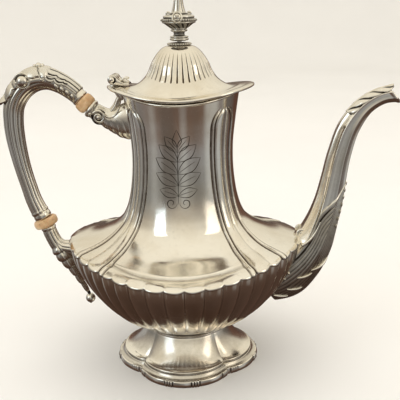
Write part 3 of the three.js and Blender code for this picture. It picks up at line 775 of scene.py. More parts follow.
SPOUT = Route(
    [
        (54, 54, 14, 12), (66, 62, 18.6, 14), (77, 72, 16.4, 14), (85.5, 84, 12.8, 12.4), (91, 98, 10, 10.4),
        (94.5, 110, 8.8, 9.2), (97.5, 125, 7.8, 8.3), (101, 143, 7.1, 7.6), (107.5, 162, 6.4, 7),
        (117.5, 174.4, 5.2, 6.2), (127, 179.4, 4.8, 5.8), (137.5, 180.2, 4.7, 5.7),
    ],
    400,
)
SPOUT_RIBS = 8


def spout_relief(t, angle):
    """Broad flutes between sharp ridges that run the length of the spout, with painted shade in the flutes.
    """
    share = (angle / TAU * SPOUT_RIBS + 0.5) % 1.0
    across = 2 * np.abs(share - 0.5)
    ridge = across**2.2
    strength = smooth(0.12, 0.32, t) * (1 - 0.45 * smooth(0.8, 1.0, t))
    return (0.95 * ridge - 0.35) * strength, strength * bump(across, 0.5) * 0.22


def make_spout():
    angle = around(SPOUT_RIBS * 14)
    start = trim(SPOUT, angle, 1.2)
    t = start + (1 - start) * down(190)
    # The mouth is cut back on top and runs forward as a lip below.
    t_cut = t * (1 - 0.045 * (1 + np.cos(angle)) * 0.5 * smooth(0.86, 1.0, t))
    rise, painted_shade = spout_relief(t_cut, angle)
    outer = SPOUT.surface(t_cut, angle, rise + bump(t - 0.995, 0.012) * 0.45)
    inner = SPOUT.surface(t_cut[::-3] * 0.9995, angle, -1.3)
    # Painted shade in the flutes and on the underside near the spout's root.
    depth = clamp(painted_shade + 0.3 * smooth(0.4, 0.15, t) * smooth(0.6, -0.4, np.cos(angle)))
    make("gooseneck", [(np.concatenate([outer, inner]), depth, True)])


def make_spout_hood():
    """A cast leaf over the end of the spout: a midrib, curved side lobes and a toothed edge."""
    veins, base = 4.0, 0.1
    u, v = down(70), across_leaf(60)
    side = np.abs(v)
    half = (1.25 - 0.05 * u) * np.sqrt(clamp((1 - u) / 0.16)) ** 0.8
    half = half * (1 - 0.15 * np.abs(2 * ((u * veins - 1.1) % 1.0) - 1) ** 1.5)
    half = half * (0.7 + 0.3 * smooth(0.0, 0.08, u))
    across = 2 * np.abs((u * veins - 1.1 * side) % 1.0 - 0.5)
    lobes = np.sqrt(clamp(1 - across**2))
    rib = np.exp(-((v / 0.1) ** 2))
    body = 0.35 + 0.65 * lobes * (0.35 + 0.65 * smooth(0.06, 0.4, side))
    height = np.maximum(body * (1 - 0.25 * side**4), rib * 0.95) * np.sqrt(clamp(1 - v**8))
    lift = base + 0.8 * smooth(0.8, 1.0, u)
    # Painted shade in the creases between the lobes, off the midrib.
    painted_shade = clamp(smooth(0.55, 1.0, across) * smooth(0.04, 0.2, side) * (1 - rib))
    make("spout_hood_leaf", [leaf_on(SPOUT, 0.80 + 0.175 * u, v * half, height + lift, lift - 0.15, painted_shade)])


def spiral(centre, size, start, turns, y, thick, shrink=0.8):
    """A round volute in the XZ plane, winding in from its outer end."""
    s = np.linspace(0, 1, 46)
    swing = start + s * turns * TAU
    reach = size * (1 - shrink * s)
    aside = y + np.sign(y) * 0.25 * size * s
    points = np.stack([centre[0] + reach * np.cos(swing), aside, centre[1] + reach * np.sin(swing)], 1)
    return cord_of(points, np.linspace(thick, thick * 0.75, len(s)), 12)


def crescents(u, count, lean):
    """Overlapping rounded lobes along u, steep on their far side: 0 in the creases, 1 on the crowns."""
    share = (u * count) % 1.0
    return np.sqrt(clamp(1 - (2 * share**lean - 1) ** 2))


# Where the leaf's rolled lips run on the spout: from (t, angle off its outer line) to (t, angle).
LOBE_LIPS = [
    (0.25, 0.42, 0.185, 1.08), (0.180, 0.95, 0.130, 1.30), (0.118, 0.80, 0.070, 1.15),
    (0.055, 0.75, 0.012, 1.10),
]
LEAF_BEADS = [(0.182, 2.02, 1.35), (0.147, 1.83, 1.25), (0.118, 1.64, 1.0), (0.09, 1.56, 0.85)]


def make_spout_leaves():
    # The leaf wraps the outer half of the spout's root. It follows the spout's ridges, with fine
    # long veins on its flanks.
    u, v = down(170), across_leaf(250)
    side = np.abs(v)
    half = 2.08 - 1.86 * smooth(0.5, 0.97, u)
    angle = math.pi + v * half
    degrees = np.linspace(0, TAU, 361)
    first = np.interp(angle[0] % TAU, degrees, trim(SPOUT, degrees[None, :], 0.8)[0])
    t = first + (0.58 - first) * u
    veins = 0.5 + 0.5 * np.cos(side * 100 + 5.0 * u)
    flank = hump(0.12, 0.22, 0.86, 0.93, side)
    spine = bump(side, 0.10)
    notch = 0.5 + 0.5 * np.cos(u * 95)
    rise = 0.22 + 0.13 * veins * flank + 0.3 * spine * notch + 0.25 * bump(side - 0.95, 0.05)
    rise = rise * smooth(1.0, 0.96, side) * smooth(1.0, 0.93, u)
    # Painted shade in the vein creases, at the notches of the spine and in the groove along the edge.
    crease = 0.3 * smooth(0.5, 0.0, veins) * flank + 0.3 * spine * (1 - notch)
    crease = crease + 0.6 * bump(side - 0.89, 0.03) * smooth(0.75, 0.6, u)
    rise = spout_relief(t, angle)[0] + rise
    # The leaf's half nearer the body is darkened too, partly as tarnish and partly as a painted dark
    # reflection, over a faint base of painted shade.
    crease = 0.27 * smooth(0.80, 0.52, u) + 0.03 + crease
    grids = [leaf_on(SPOUT, t, angle, rise, -0.3, clamp(crease))]
    steps = np.linspace(0, 1, 60)
    swell = np.sin(math.pi * steps) ** 0.8
    for sign in (-1, 1):
        grids.append(spiral((77.0, 90.2), 2.9, 0.4, 1.35, sign * 5.0, 1.0))
        # A fine line and a hooked roll edge the leaf, with a slot between them.
        line = SPOUT.surface(0.56 - 0.29 * steps, math.pi - sign * (2.25 - 0.2 * steps), 0.55)
        roll = SPOUT.surface(0.37 - 0.125 * steps, math.pi - sign * (1.80 + 0.28 * steps**2), 0.75)
        grids += [cord_of(line, 0.3 + 0.25 * steps), cord_of(roll, 0.3 + 0.95 * steps)]
        # Rolled lips of the leaf's lobes, under the spout.
        for t0, a0, t1, a1 in LOBE_LIPS:
            swing = math.pi - sign * (a0 + (a1 - a0) * steps**1.4)
            grids.append(cord_of(SPOUT.surface(t0 + (t1 - t0) * steps, swing, 0.55), 0.25 + 0.75 * swell))
        for t0, a0, size in LEAF_BEADS:
            grids.append(ball(SPOUT.surface(t0, math.pi - sign * a0, 0.7), size, 16))
        # Chased dashes up the outer edge.
        for k in range(7):
            t = 0.36 + 0.028 * k + 0.016 * steps[::6]
            dash = SPOUT.surface(t, math.pi - sign * (0.62 - 0.05 * k), 0.95)
            grids.append(cord_of(dash, 0.2 + 0.3 * swell[::6]))
    make("spout_acanthus", grids)


# ---- Handle

UPPER = dict(x=-62.0, z=177.0, dx=0.7, dz=-0.714, r=6.3, half=3.6)
LOWER = dict(x=-94.4, z=96.9, dx=0.36, dz=-0.933, r=7.9, half=2.9)


def along(joint, s):
    return joint["x"] + joint["dx"] * s, joint["z"] + joint["dz"] * s


GRIP = Route(
    [
        (*along(UPPER, -UPPER["half"] - 0.3), 5.3, 5.5),
        (-70.6, 185.1, 5.8, 6), (-77.7, 189.8, 6.2, 6.6), (-86.4, 192.8, 6.8, 7.2), (-94.4, 192, 7.1, 7.4),
        (-101.2, 187.8, 6.9, 7.2), (-106, 182.2, 6.7, 6.9), (-109.2, 174.8, 6.4, 6.6),
        (-110.2, 166, 6.1, 6.4), (-109.8, 154, 5.8, 6.1), (-108.2, 142, 5.3, 5.8), (-106.4, 132.5, 5, 5.5),
        (-104, 122.5, 4.9, 5.3), (-101.2, 112.1, 5.1, 5.3), (-98.3, 105, 5.4, 5.5),
        (*along(LOWER, -LOWER["half"] - 0.3), 5.7, 5.8),
    ],
    500,
)


def reeded(angle, count, depth):
    """Round reeds with narrow grooves between, and how much painted shade each point gets."""
    share = (angle * count / TAU) % 1.0
    across = 2 * np.abs(share - 0.5)
    return depth * (np.sqrt(1 - (0.96 * across) ** 2) - 0.5), smooth(0.72, 1.0, across)


def make_washer(name, joint):
    """A turned bone washer with a swollen side and soft corners, and its two tenons."""
    half, r = joint["half"], joint["r"]
    side = [(0, 1), (0.6, 1), (0.86, 0.97), (0.985, 0.66), (1.03, 0)]
    side = [(wide, -share) for wide, share in side] + side[-2::-1]
    profile = spline([(r * wide, half * share) for wide, share in side], 48)
    profile[:, 0] = np.maximum(profile[:, 0], 0)
    centre = np.array([joint["x"], 0, joint["z"]])
    axis = np.array([joint["dx"], 0, joint["dz"]]) / math.hypot(joint["dx"], joint["dz"])
    grids = [spin(profile, centre, axis, (0, 1, 0), 72)]
    start, length, radius, soft = half - 0.8, 5.4, 3.1, 0.775
    end = [(0, 0), (radius - soft, 0), (radius - soft * 0.3, soft * 0.3), (radius, soft)]
    tenon = end + [(wide, length - s) for wide, s in end[::-1]]
    for sign in (-1, 1):
        grids.append(spin(tenon, centre + axis * sign * start, axis * sign, (0, 1, 0), 24))
    make(name, grids)


def make_grip():
    angle, t = around(144), down(260)
    rise, painted_shade = reeded(angle + math.pi / 12, 12, 0.75)
    strength = hump(0.16, 0.27, 0.95, 0.985, t)
    end = 0.35 * (bump(t - 0.006, 0.01) + bump(t - 0.985, 0.012) + bump(t - 0.962, 0.008))
    outer = GRIP.surface(t, angle, rise * strength + end)
    inner = GRIP.surface(t[::-4], angle, -1.5)
    make("reeded_grip", [(np.concatenate([outer, inner]), painted_shade * strength * 0.9, True)])


GROUND_SHADE = 0.9  # painted shade for the dark discs behind the volutes and the dark lines under small leaves


def make_thumb_leaf():
    # A reeded sheath with a scalloped edge runs from the washer to the crest.
    u, v = down(120), across_leaf(110)
    side = np.abs(v)
    scallop = np.abs(np.sin(u * math.pi * 5)) ** 0.6 * smooth(0.3, 0.42, u)
    half = (1.35 + 0.3 * scallop + 0.1 * smooth(0.4, 0.9, u)) * (1 - 0.5 * smooth(0.88, 1.0, u))
    reed = 0.5 + 0.5 * np.cos(side * 17)
    rim = bump(side - 0.9, 0.1) * smooth(0.28, 0.4, u)
    rise = 0.35 + 0.4 * reed * smooth(0.88, 0.75, side) + 0.55 * rim * (0.55 + 0.45 * scallop)
    rise = rise * smooth(1.0, 0.95, side) * smooth(0.0, 0.03, u) * (1 + 0.9 * bump(u - 0.95, 0.06))
    rise = rise * smooth(1.0, 0.98, u)
    # Painted shade in the creases between reeds and inside the rim, over a faint base of painted shade.
    crease = smooth(0.35, 0.0, reed) * smooth(0.9, 0.75, side) + 1.0 * bump(side - 0.78, 0.07) * (u > 0.3)
    t = 0.025 + 0.195 * u
    grids = [leaf_on(GRIP, t, math.pi + v * half, 0.3 + rise, 0.0, 0.15 + 0.7 * crease)]

    # The acanthus leaf turns over the crest and ends in a free, curled tip on the outer side.
    u = down(150)
    lobes = crescents(u * (1 - 0.2 * side) + 0.1 * side, 5.0, 0.8)
    half = (1.5 - 0.25 * u) * np.sqrt(clamp((1 - u) / 0.16))
    half = half * (1 - 0.14 * np.abs(2 * ((u * 6) % 1.0) - 1) ** 1.5)
    rib = np.exp(-((v / 0.12) ** 2))
    rise = 0.25 + 1.35 * np.maximum(lobes * smooth(0.03, 0.3, side), rib * 0.9) * (1 - 0.2 * side**3)
    rise = rise * smooth(1.0, 0.93, side) * smooth(0.0, 0.06, u)
    curl = 2.6 * smooth(0.78, 1.0, u) ** 1.5
    t = 0.17 + 0.26 * u
    # Painted shade in the creases between the lobes, over a faint base.
    crease = smooth(0.5, 0.05, lobes) * smooth(0.03, 0.25, side) * (1 - rib)
    grids.append(leaf_on(GRIP, t, math.pi + v * half, 0.3 + rise + curl, curl, 0.15 + 0.8 * crease))
    steps = np.linspace(0, 1, 40)
    for sign in (-1, 1):
        grids += [
            ball((-99.8, sign * 8.0, 192.2), 3.6, 28, (1, 0.75, 1)),
            # A thin dark disc behind each volute: painted shade.
            (ball((-99.8, sign * 6.5, 192.2), 4.9, 28, (1, 0.3, 1)), GROUND_SHADE, False),
            spiral((-99.8, 192.2), 5.2, 2.9, -0.95, sign * 6.9, 0.8, shrink=0.2),
        ]
        band = GRIP.surface(0.235 - 0.115 * steps, math.pi - sign * (1.25 - 0.25 * steps), 0.7)
        grids.append(cord_of(band, np.linspace(1.0, 0.35, 40)))
        # Small chased leaves run along the flank, each over a dark line of painted shade.
        for low in (0.135, 0.105, 0.075, 0.045):
            for shift, rise, size, shade in ((0.0, 0.5, 0.85, 0.0), (0.13, 0.15, 0.75, GROUND_SHADE)):
                swing = math.pi - sign * (1.62 + shift + 0.62 * steps**1.5)
                leaf = GRIP.surface(low - 0.032 * steps, swing, rise)
                grids.append((cord_of(leaf, 0.2 + size * np.sin(math.pi * steps**0.7)), shade, False))
    # The sheath's tip curls up on the crest.
    for place, size in ((0.218, 1.9), (0.205, 1.3), (0.231, 1.2)):
        grids.append(ball(GRIP.surface(place, math.pi, 1.6), size, 16, (1, 1.5, 1)))
    make("thumb_acanthus", grids)


def make_upper_socket():
    angle, u = around(120), down(150)
    route = Route(
        [
            (*along(UPPER, UPPER["half"] + 0.3), 5.6, 5.8),
            (-54.5, 170.8, 5.5, 5.7), (-49.5, 168.2, 5.8, 5.9), (-44.5, 166.4, 7.4, 6.5),
            (-39.5, 165.8, 10.4, 7.4), (-32.6, 165.8, 12.2, 8),
        ],
        200,
    )
    end = trim(route, angle, 0.8, from_start=False, reach=0.6)
    t = end * u
    low = smooth(-0.2, 0.5, -np.cos(angle))
    ribs = 0.5 + 0.5 * np.cos(7 * (angle - math.pi))
    leaf = crescents(u + 0.12 * np.cos(angle), 7.0, 1.2)
    rise = 0.35 * ribs * low * smooth(0.2, 0.5, u) + 0.45 * leaf * low * smooth(0.25, 0.4, u)
    rise = rise + 0.6 * bump(u - 0.05, 0.05) - 0.25 * bump(u - 0.13, 0.03)
    # Painted shade in the creases between the leaf's lobes and in the groove near the end.
    crease = 0.7 * smooth(0.4, 0.0, leaf) * low * smooth(0.25, 0.4, u) + 0.5 * bump(u - 0.13, 0.03)
    grids = [(route.surface(t, angle, rise), clamp(crease), False)]
    hook = spline([(-49.4, 170.8), (-46.5, 168.6), (-43.5, 168.8), (-40.6, 171.5), (-38.6, 174.8)], 40)
    steps = np.linspace(0, 1, 40)
    for sign in (-1, 1):
        grids += [
            spiral((-52.6, 168.6), 4.3, 2.6, -1.5, sign * 5.9, 0.95, shrink=0.7),
            ball((-52.6, sign * 6.8, 168.6), 1.5, 16),
            # A thin dark disc behind each volute: painted shade.
            (ball((-52.6, sign * 4.7, 168.6), 5.0, 28, (1, 0.25, 1)), GROUND_SHADE, False),
            ball((-58.2, sign * 5.2, 170.6), 1.35, 16),
        ]
        curve = np.stack([hook[:, 0], sign * (5.6 + 1.2 * steps), hook[:, 1]], 1)
        grids.append(cord_of(curve, 0.9 - 0.45 * steps))
    tab = Route([(-44.6, 171.5, 2.4, 3.6), (-41.4, 176, 2.0, 3.8), (-40.0, 180.6, 1.5, 3.2)], 60)
    u = down(24)
    grids.append(tab.surface(u, angle, 0.25 * np.cos(5 * angle) * smooth(1, 0.7, u)))
    make("upper_socket_cast", grids)


def make_lower_socket():
    angle, t = around(120), down(220)
    route = Route(
        [
            (*along(LOWER, LOWER["half"] + 0.3), 4.6, 4.9),
            (-91.2, 87.5, 4.5, 4.9), (-88, 81, 4.8, 5.1), (-84.2, 75, 5.3, 5.5), (-80.4, 68.6, 4.4, 4.9),
            (-77, 62.5, 2.9, 3.9), (-73.8, 56, 1.9, 3.0), (-70.4, 50, 1.5, 2.2), (-67.8, 44.6, 1.2, 1.5),
        ],
        300,
    )
    reed_rise, reed_shade = reeded(angle, 10, 0.7)
    outside = smooth(-0.3, 0.35, -np.cos(angle))
    reeds = smooth(0.03, 0.07, t) * (1 - smooth(0.22, 0.32, t) * outside) * smooth(0.46, 0.34, t)
    place = clamp((t - 0.26) / 0.7) ** 0.9
    lobes = crescents(place, 6.0, 1.5) * smooth(0.24, 0.3, t)
    size = 1.25 - 0.75 * place
    leaf = size * lobes * (0.45 + 0.55 * outside)
    border = bump(np.cos(angle) - 0.15, 0.22) * smooth(0.36, 0.42, t) * 0.45
    rise = reed_rise * reeds + leaf * smooth(0.24, 0.32, t) - 0.2 + border + 0.6 * bump(t - 0.02, 0.025)
    # Painted shade in the reeds' grooves and between the leaf's lobes.
    crease = reed_shade * reeds * 0.9 + smooth(0.45, 0.0, lobes) * smooth(0.28, 0.34, t) * 0.75
    grids = [(route.surface(t, angle, rise), clamp(crease), False)]
    rows = [(-88.6, 83.5, 3.6, 4.2), (-84.5, 79.6, 4.2, 4.8), (-79.5, 78.6, 4.8, 5.4), (-70, 78.5, 5.6, 6.2)]
    stub = Route(rows, 120)
    u = trim(stub, angle, 1.0, from_start=False, reach=0.8) * down(60)
    grids += [
        (stub.surface(u, angle, reed_rise * 0.9), reed_shade * 0.8, False),
        ball((-67.2, 0, 41.4), 3.3, 32),
        ball((-67.2, 0, 38.2), 0.9, 14),
    ]
    make("lower_socket_cast", grids)


# ---- Lid

FLUTES = 36
LID_COLUMNS = FLUTES * 18
BRIM_X, BRIM_Y = 45.6, 38.0  # half length and half width of the brim
LID_ROUND = 22.0  # the lid is round inside this radius
SLOT_DEPTH_FROM = 38.0  # radius to which the hinge's slot is cut back
BRIM_LIFT = 3.0
ROLL_R, ROLL_Z = 45.9, 184.95  # the brim's rolled edge


def boat(r, angle):
    """Radius of the lid's plan, round in the middle and boat-shaped at the brim."""
    oval = 1 / np.hypot(np.cos(angle) / BRIM_X, np.sin(angle) / BRIM_Y)
    spread = LID_ROUND + (r - LID_ROUND) * (oval - LID_ROUND) / (BRIM_X - LID_ROUND)
    return np.where(r <= LID_ROUND, r, spread)


def brim_lift(r):
    """How much higher the lid is at its two tips than at its axis, and lower at its sides."""
    return BRIM_LIFT * clamp((r - 15) / 22)


def in_notch(x, y):
    """1 in the slot in the brim at the hinge."""
    return smooth(4.15, 3.85, np.abs(y)) * (x < 0)


def lid_relief(profile, angle):
    r, z = profile[:, :1], profile[:, 1:2]
    lift = brim_lift(r) * np.cos(2 * angle)
    share = (angle * FLUTES / TAU) % 1.0
    across = 2 * np.abs(share - 0.5)
    # Broad ribs between thin grooves, which taper out above and end square near the brim.
    level = z - 0.7 * lift
    span = hump(192.6, 193.6, 204.0, 210.4, level)
    groove = smooth(0.56 + 0.26 * smooth(193.0, 207.0, level), 0.97, across)
    # The second value is painted shade in the grooves.
    return -0.9 * groove * span * clamp(r / 19 + 0.1), groove * span * 0.95


def lid_warp(profile, angle, relief=True):
    r, z = profile[:, :1], profile[:, 1:2]
    height = lid_relief(profile, angle)[0] if relief else 0.0
    away, up = outward(profile)
    sign = np.sign(away[len(away) // 2])
    radius = boat(r, angle) + away * height * sign
    x, y = radius * np.cos(angle), radius * np.sin(angle)
    # The brim's outer part is drawn back at the hinge, to leave the slot for the fixed knuckle.
    past = np.where(x < 0, np.maximum(radius - SLOT_DEPTH_FROM, 0), 0)
    radius = radius - past * in_notch(x, y)
    return radius, z + brim_lift(r) * np.cos(2 * angle) + up * height * sign


LID = [
    (44.9, 184.2), (45.7, 184.9), (45.4, 185.7), (44.2, 185.8), (41.0, 185.5), (38.3, 185.4), (35.0, 185.1),
    (31.8, 185.5), (28.4, 187.0), (25.0, 189.6), (22.4, 192.6), (20.7, 195.4), (17.7, 202.3), (13.3, 208.9),
    (10.4, 211.3), (7.6, 212.35), (4.0, 212.4),
]


def make_lid():
    outer = spline(LID, 170)
    inner = [
        (4.0, 211.2), (8.0, 211.1), (11.6, 208.4), (16.0, 202.2), (19.2, 195.2), (21.0, 192.2), (23.8, 188.6),
        (27.6, 185.9), (31.6, 184.3), (35.0, 183.9), (38.3, 184.2), (43.4, 184.3),
    ]
    grid = shell(outer, spline(inner, 36), LID_COLUMNS, lid_warp)
    make("fluted_lid", [(grid, lid_relief(outer, around(LID_COLUMNS))[1], True)])

    def roll(p, a):
        """The roll follows the brim, and shrinks to a thread inside the slot."""
        radius, centre = boat(p[:, :1], a), boat(np.full((1, 1), ROLL_R), a)
        pull = in_notch(radius * np.cos(a), radius * np.sin(a))
        shrunk = np.where(pull > 0.5, 0.05, 1.0)
        height = ROLL_Z + (p[:, 1:2] - ROLL_Z) * shrunk + BRIM_LIFT * np.cos(2 * a) + 0.4 * pull
        return centre + (radius - centre) * shrunk - 7.4 * pull, height

    make("brim_roll", [(turn(wire_profile(ROLL_R, ROLL_Z, 0.8, 0.85, 16), 360, roll), 0.0, True)])

    def bezel(p, a):
        return p[:, :1], p[:, 1:2] + np.where(p[:, 1:2] > 180, MOUTH_LIFT, 0.0) * np.cos(2 * a)

    shape = [(32.3, 176.6), (33.0, 176.7), (33.2, 177.3), (33.2, 183.4), (32.3, 183.4)]
    make("lid_bezel_ring", [(turn(shape, 160, bezel), 0.0, True)])


HINGE_X, HINGE_Z = -42.5, 192.4


def ear_plate(outline, low, high):
    """A flat shape in the XZ plane with softened edges, from y = low to y = high."""
    outline = np.array(outline, float)
    centre = outline.mean(0)
    rows = []
    for y, inset in ((low, 0.35), (low + 0.25, 0.0), (high - 0.25, 0.0), (high, 0.35)):
        shape = outline + (centre - outline) / np.linalg.norm(centre - outline, axis=1)[:, None] * inset
        rows.append(np.stack([shape[:, 0], np.full(len(shape), y), shape[:, 1]], 1))
    return np.array(rows)


def on_pin(profile, columns):
    """Turns [radius, y] rows about the hinge's axis."""
    return spin(profile, (HINGE_X, 0, HINGE_Z), (0, 1, 0), (0, 0, 1), columns)


def knuckle(low, high):
    """A hinge barrel with two turned grooves."""
    s = np.linspace(0, 1, 40)
    radius = 2.9 - 0.35 * bump(s - 0.12, 0.05) - 0.35 * bump(s - 0.88, 0.05)
    radius[[0, -1]] = 0.0
    radius[[1, -2]] = 2.6
    s[1], s[-2] = 0.0, 1.0
    return on_pin(np.stack([radius, low + (high - low) * s], 1), 48)


def make_hinge():
    strap = [
        (-37.6, 178.6), (-39.6, 179.2), (-42.2, 183.6), (-44.9, 190.4), (-44.4, 193.2), (-42.0, 193.6),
        (-40.6, 190.6), (-39.9, 186.6), (-38.6, 182.2), (-37.6, 180.6),
    ]
    make("hinge_fixed_part", [ear_plate(strap, -2.6, 2.6), knuckle(-2.65, 2.65)])
    head = [(0, 9), (0.9, 8.9), (1.5, 8.5), (1.7, 8.0), (1.6, 7.75), (0.9, 7.7)]
    make("hinge_pin_headed", [on_pin([(r, -y) for r, y in head] + head[::-1], 28)])

    plate = [(-38.6, 188.9), (-38.8, 190.0), (-34.2, 190.0), (-33.0, 189.6), (-32.6, 188.7)]
    ear = [
        (HINGE_X, HINGE_Z + 2.3), (HINGE_X - 0.6, 190.2), (-39.6, 189.2), (-36.4, 189.0), (-35.6, 190.2),
        (-38.2, 191.6), (-40.2, 193.6),
    ]
    grids = [ear_plate(plate, -7.2, 7.2)]
    for low, high in ((-7.4, -3.05), (3.05, 7.4)):
        grids += [ear_plate(ear, low, high), knuckle(low, high)]
    make("hinge_moving_part", grids)

    # Two small prongs with ball tips, one over the other.
    prongs = []
    for side in (-1, 1):
        for y0, z0, z1 in ((2.4, 191.4, 192.6), (1.6, 190.7, 190.5)):
            path = [(-38.6, z0, y0), (-36.8, z0 + 0.5, y0 + 0.3), (-35, z1 + 0.3, y0 + 0.2), (-33.9, z1, y0)]
            path = spline(path, 14)[:, [0, 2, 1]] * (1, side, 1)
            prongs += [
                cord_of(path, np.linspace(0.75, 0.6, 14)),
                ball((-33.8, side * y0, z1), 0.85, 12),
            ]
    make("hinge_prongs", prongs)


FINIAL_COLUMNS = 240
COLLAR_BEADS = 30


def make_finial_collar():
    count = 18
    collar = spline([(6.9, 212.75), (7.5, 212.9), (7.8, 213.4), (7.4, 213.9), (6.2, 214.1)], count)
    section = np.vstack([collar, [(2.0, 214.5), (2.0, 212.75)]])
    on = np.concatenate([np.sin(np.linspace(0, math.pi, count)), [0, 0]])[:, None]
    angle = around(FINIAL_COLUMNS)
    bead = np.abs(np.sin(angle * COLLAR_BEADS / 2)) ** 0.7
    ring = turn(section, FINIAL_COLUMNS, lambda p, a: (p[:, :1] - 0.55 * on * (1 - bead), p[:, 1:2]))
    # Painted shade between the beads, over a light base.
    make("finial_collar_ring", [(ring, clamp(0.25 + 0.6 * on * (1 - bead) ** 2), True)])


def make_finial():
    angle = around(FINIAL_COLUMNS)
    # Each section goes on from the end of the one before.
    parts = [
        ([(5.0, 215.4), (5.9, 215.9), (5.7, 216.7), (5.0, 217.2)], 16),
        ([(5.7, 217.4), (5.6, 217.9), (4.2, 218.2), (3.5, 218.8), (3.4, 219.8), (3.7, 220.7)], 24),
        ([(4.9, 221.0), (5.3, 221.6), (4.9, 222.2), (4.7, 222.5)], 14),
        ([(5.6, 223.0), (7.4, 224.3), (9.3, 225.6), (10.1, 226.0)], 18),
        ([(10.5, 226.2), (10.4, 226.7), (10.3, 226.9)], 8),
        ([(11.0, 227.2), (11.2, 227.8), (10.9, 228.4), (10.1, 228.6)], 14),
        ([(9.5, 229.0), (9.8, 229.5), (9.5, 230.2), (8.4, 230.6), (6.4, 230.9)], 20),
        ([(5.1, 231.4), (4.3, 232.8), (3.7, 234.8), (3.2, 237.2), (2.75, 239.9), (2.4, 242.4)], 30),
        ([(3.0, 243.2), (2.4, 244.0), (2.9, 245.6), (2.7, 247.4), (1.7, 249.1), (0.0, 249.9)], 26),
    ]
    start, sections = (1.8, 215.35), []
    for rows, count in parts:
        sections.append(spline([start, *rows], count))
        start = rows[-1]
    profile = np.vstack(sections)
    z = profile[:, 1:2]
    leaves = np.abs(((angle + 0.10 * (z - 222)) * 14 / TAU) % 1.0 - 0.5) * 2
    urn = hump(222.4, 223.2, 225.6, 226.2, z)
    spire = hump(231.6, 233.4, 240.0, 242.4, z)
    eight = np.abs((angle * 8 / TAU) % 1.0 - 0.5) * 2
    edge = hump(226.9, 227.4, 228.1, 228.7, z)
    rise = -0.6 * urn * smooth(0.45, 1.0, leaves) - 0.22 * spire * smooth(0.4, 1.0, eight)
    rise = rise + 0.22 * edge * np.sin(angle * 40)
    shape = turn(profile, FINIAL_COLUMNS, lambda p, a: (p[:, :1] + rise, p[:, 1:2]))
    # Painted shade in the necks, between the urn's leaves, in the spire's flutes and between the edge's
    # beads, over a faint base.
    necks = smooth(5.0, 3.7, profile[:, :1]) * (z < 221.2)
    necks = necks + bump(z - 228.9, 0.6) + bump(z - 226.8, 0.3) + bump(z - 217.1, 0.3)
    necks = 0.5 * necks + 0.7 * bump(z - 231.4, 0.7)
    depth = urn * (0.35 + 0.65 * smooth(0.45, 0.95, leaves)) + 0.5 * spire * smooth(0.5, 1.0, eight) + necks
    depth = depth + 0.45 * edge * (0.5 - 0.5 * np.sin(angle * 40)) + 0.15
    grids = [(shape, clamp(depth), False)]
    s = np.linspace(0, 1, 34)
    swing = (2.6 * s - 0.5) * math.pi
    size = 1.3 * (1 - 0.7 * s)
    hoop = np.linspace(0, TAU, 49)
    for side in (-1, 1):
        curl = np.stack([side * (6.7 - size * np.cos(swing)), 0 * s, 231.5 + size * np.sin(swing)], 1)
        grids.append(cord_of(curl, np.linspace(0.8, 0.55, 34)))
        # Front and back: a rosette on the urn's edge with a raised ring round it.
        grids.append(ball((0, side * 10.1, 229.3), 2.3, 28, (1, 0.45, 1)))
        loop = [2.9 * np.cos(hoop), side * (10.0 - 0.9 * np.sin(hoop)), 229.4 + 3.0 * np.sin(hoop)]
        grids.append((cord_of(np.stack(loop, 1)[:-1], 0.5), 0.0, True))
        for k in np.arange(6) * TAU / 6:
            petal = (1.45 * math.cos(k), side * 11.0, 229.3 + 1.45 * math.sin(k))
            grids.append(ball(petal, 0.62, 12))
    make("urn_finial", grids)


# ---- Stage, light and camera


def make_stage():
    """A round pale floor that turns up into a wall all round."""
    flat, turn_r, high = 2.2, 0.7, 3.2
    swing = np.linspace(0.1, math.pi / 2, 14)
    curve = np.stack([flat + turn_r * np.sin(swing), turn_r * (1 - np.cos(swing))], 1)
    profile = np.vstack([[(0.6, 0.0), (flat, 0.0)], curve, [(flat + turn_r, high)]])
    vertices = turn(profile, 72).reshape(-1, 3).tolist()
    faces = grid_faces(len(profile), 72) + [list(range(72))]
    mesh = bpy.data.meshes.new("floor")
    mesh.from_pydata(vertices, [], faces)
    mesh.polygons.foreach_set("use_smooth", [True] * (len(faces) - 1) + [False])
    floor = put("floor", mesh)
    n = Nodes(bpy.data.materials.new("floor_paint"))
    paint = n.ramp(n.noise(3, 3, 0.5), [(0.3, (0.84, 0.84, 0.85)), (0.7, (0.87, 0.87, 0.88))])
    n.shader(Base_Color=paint, Roughness=0.8)
    mesh.materials.append(n.owner)
    floor.visible_glossy = False
    floor.visible_shadow = False


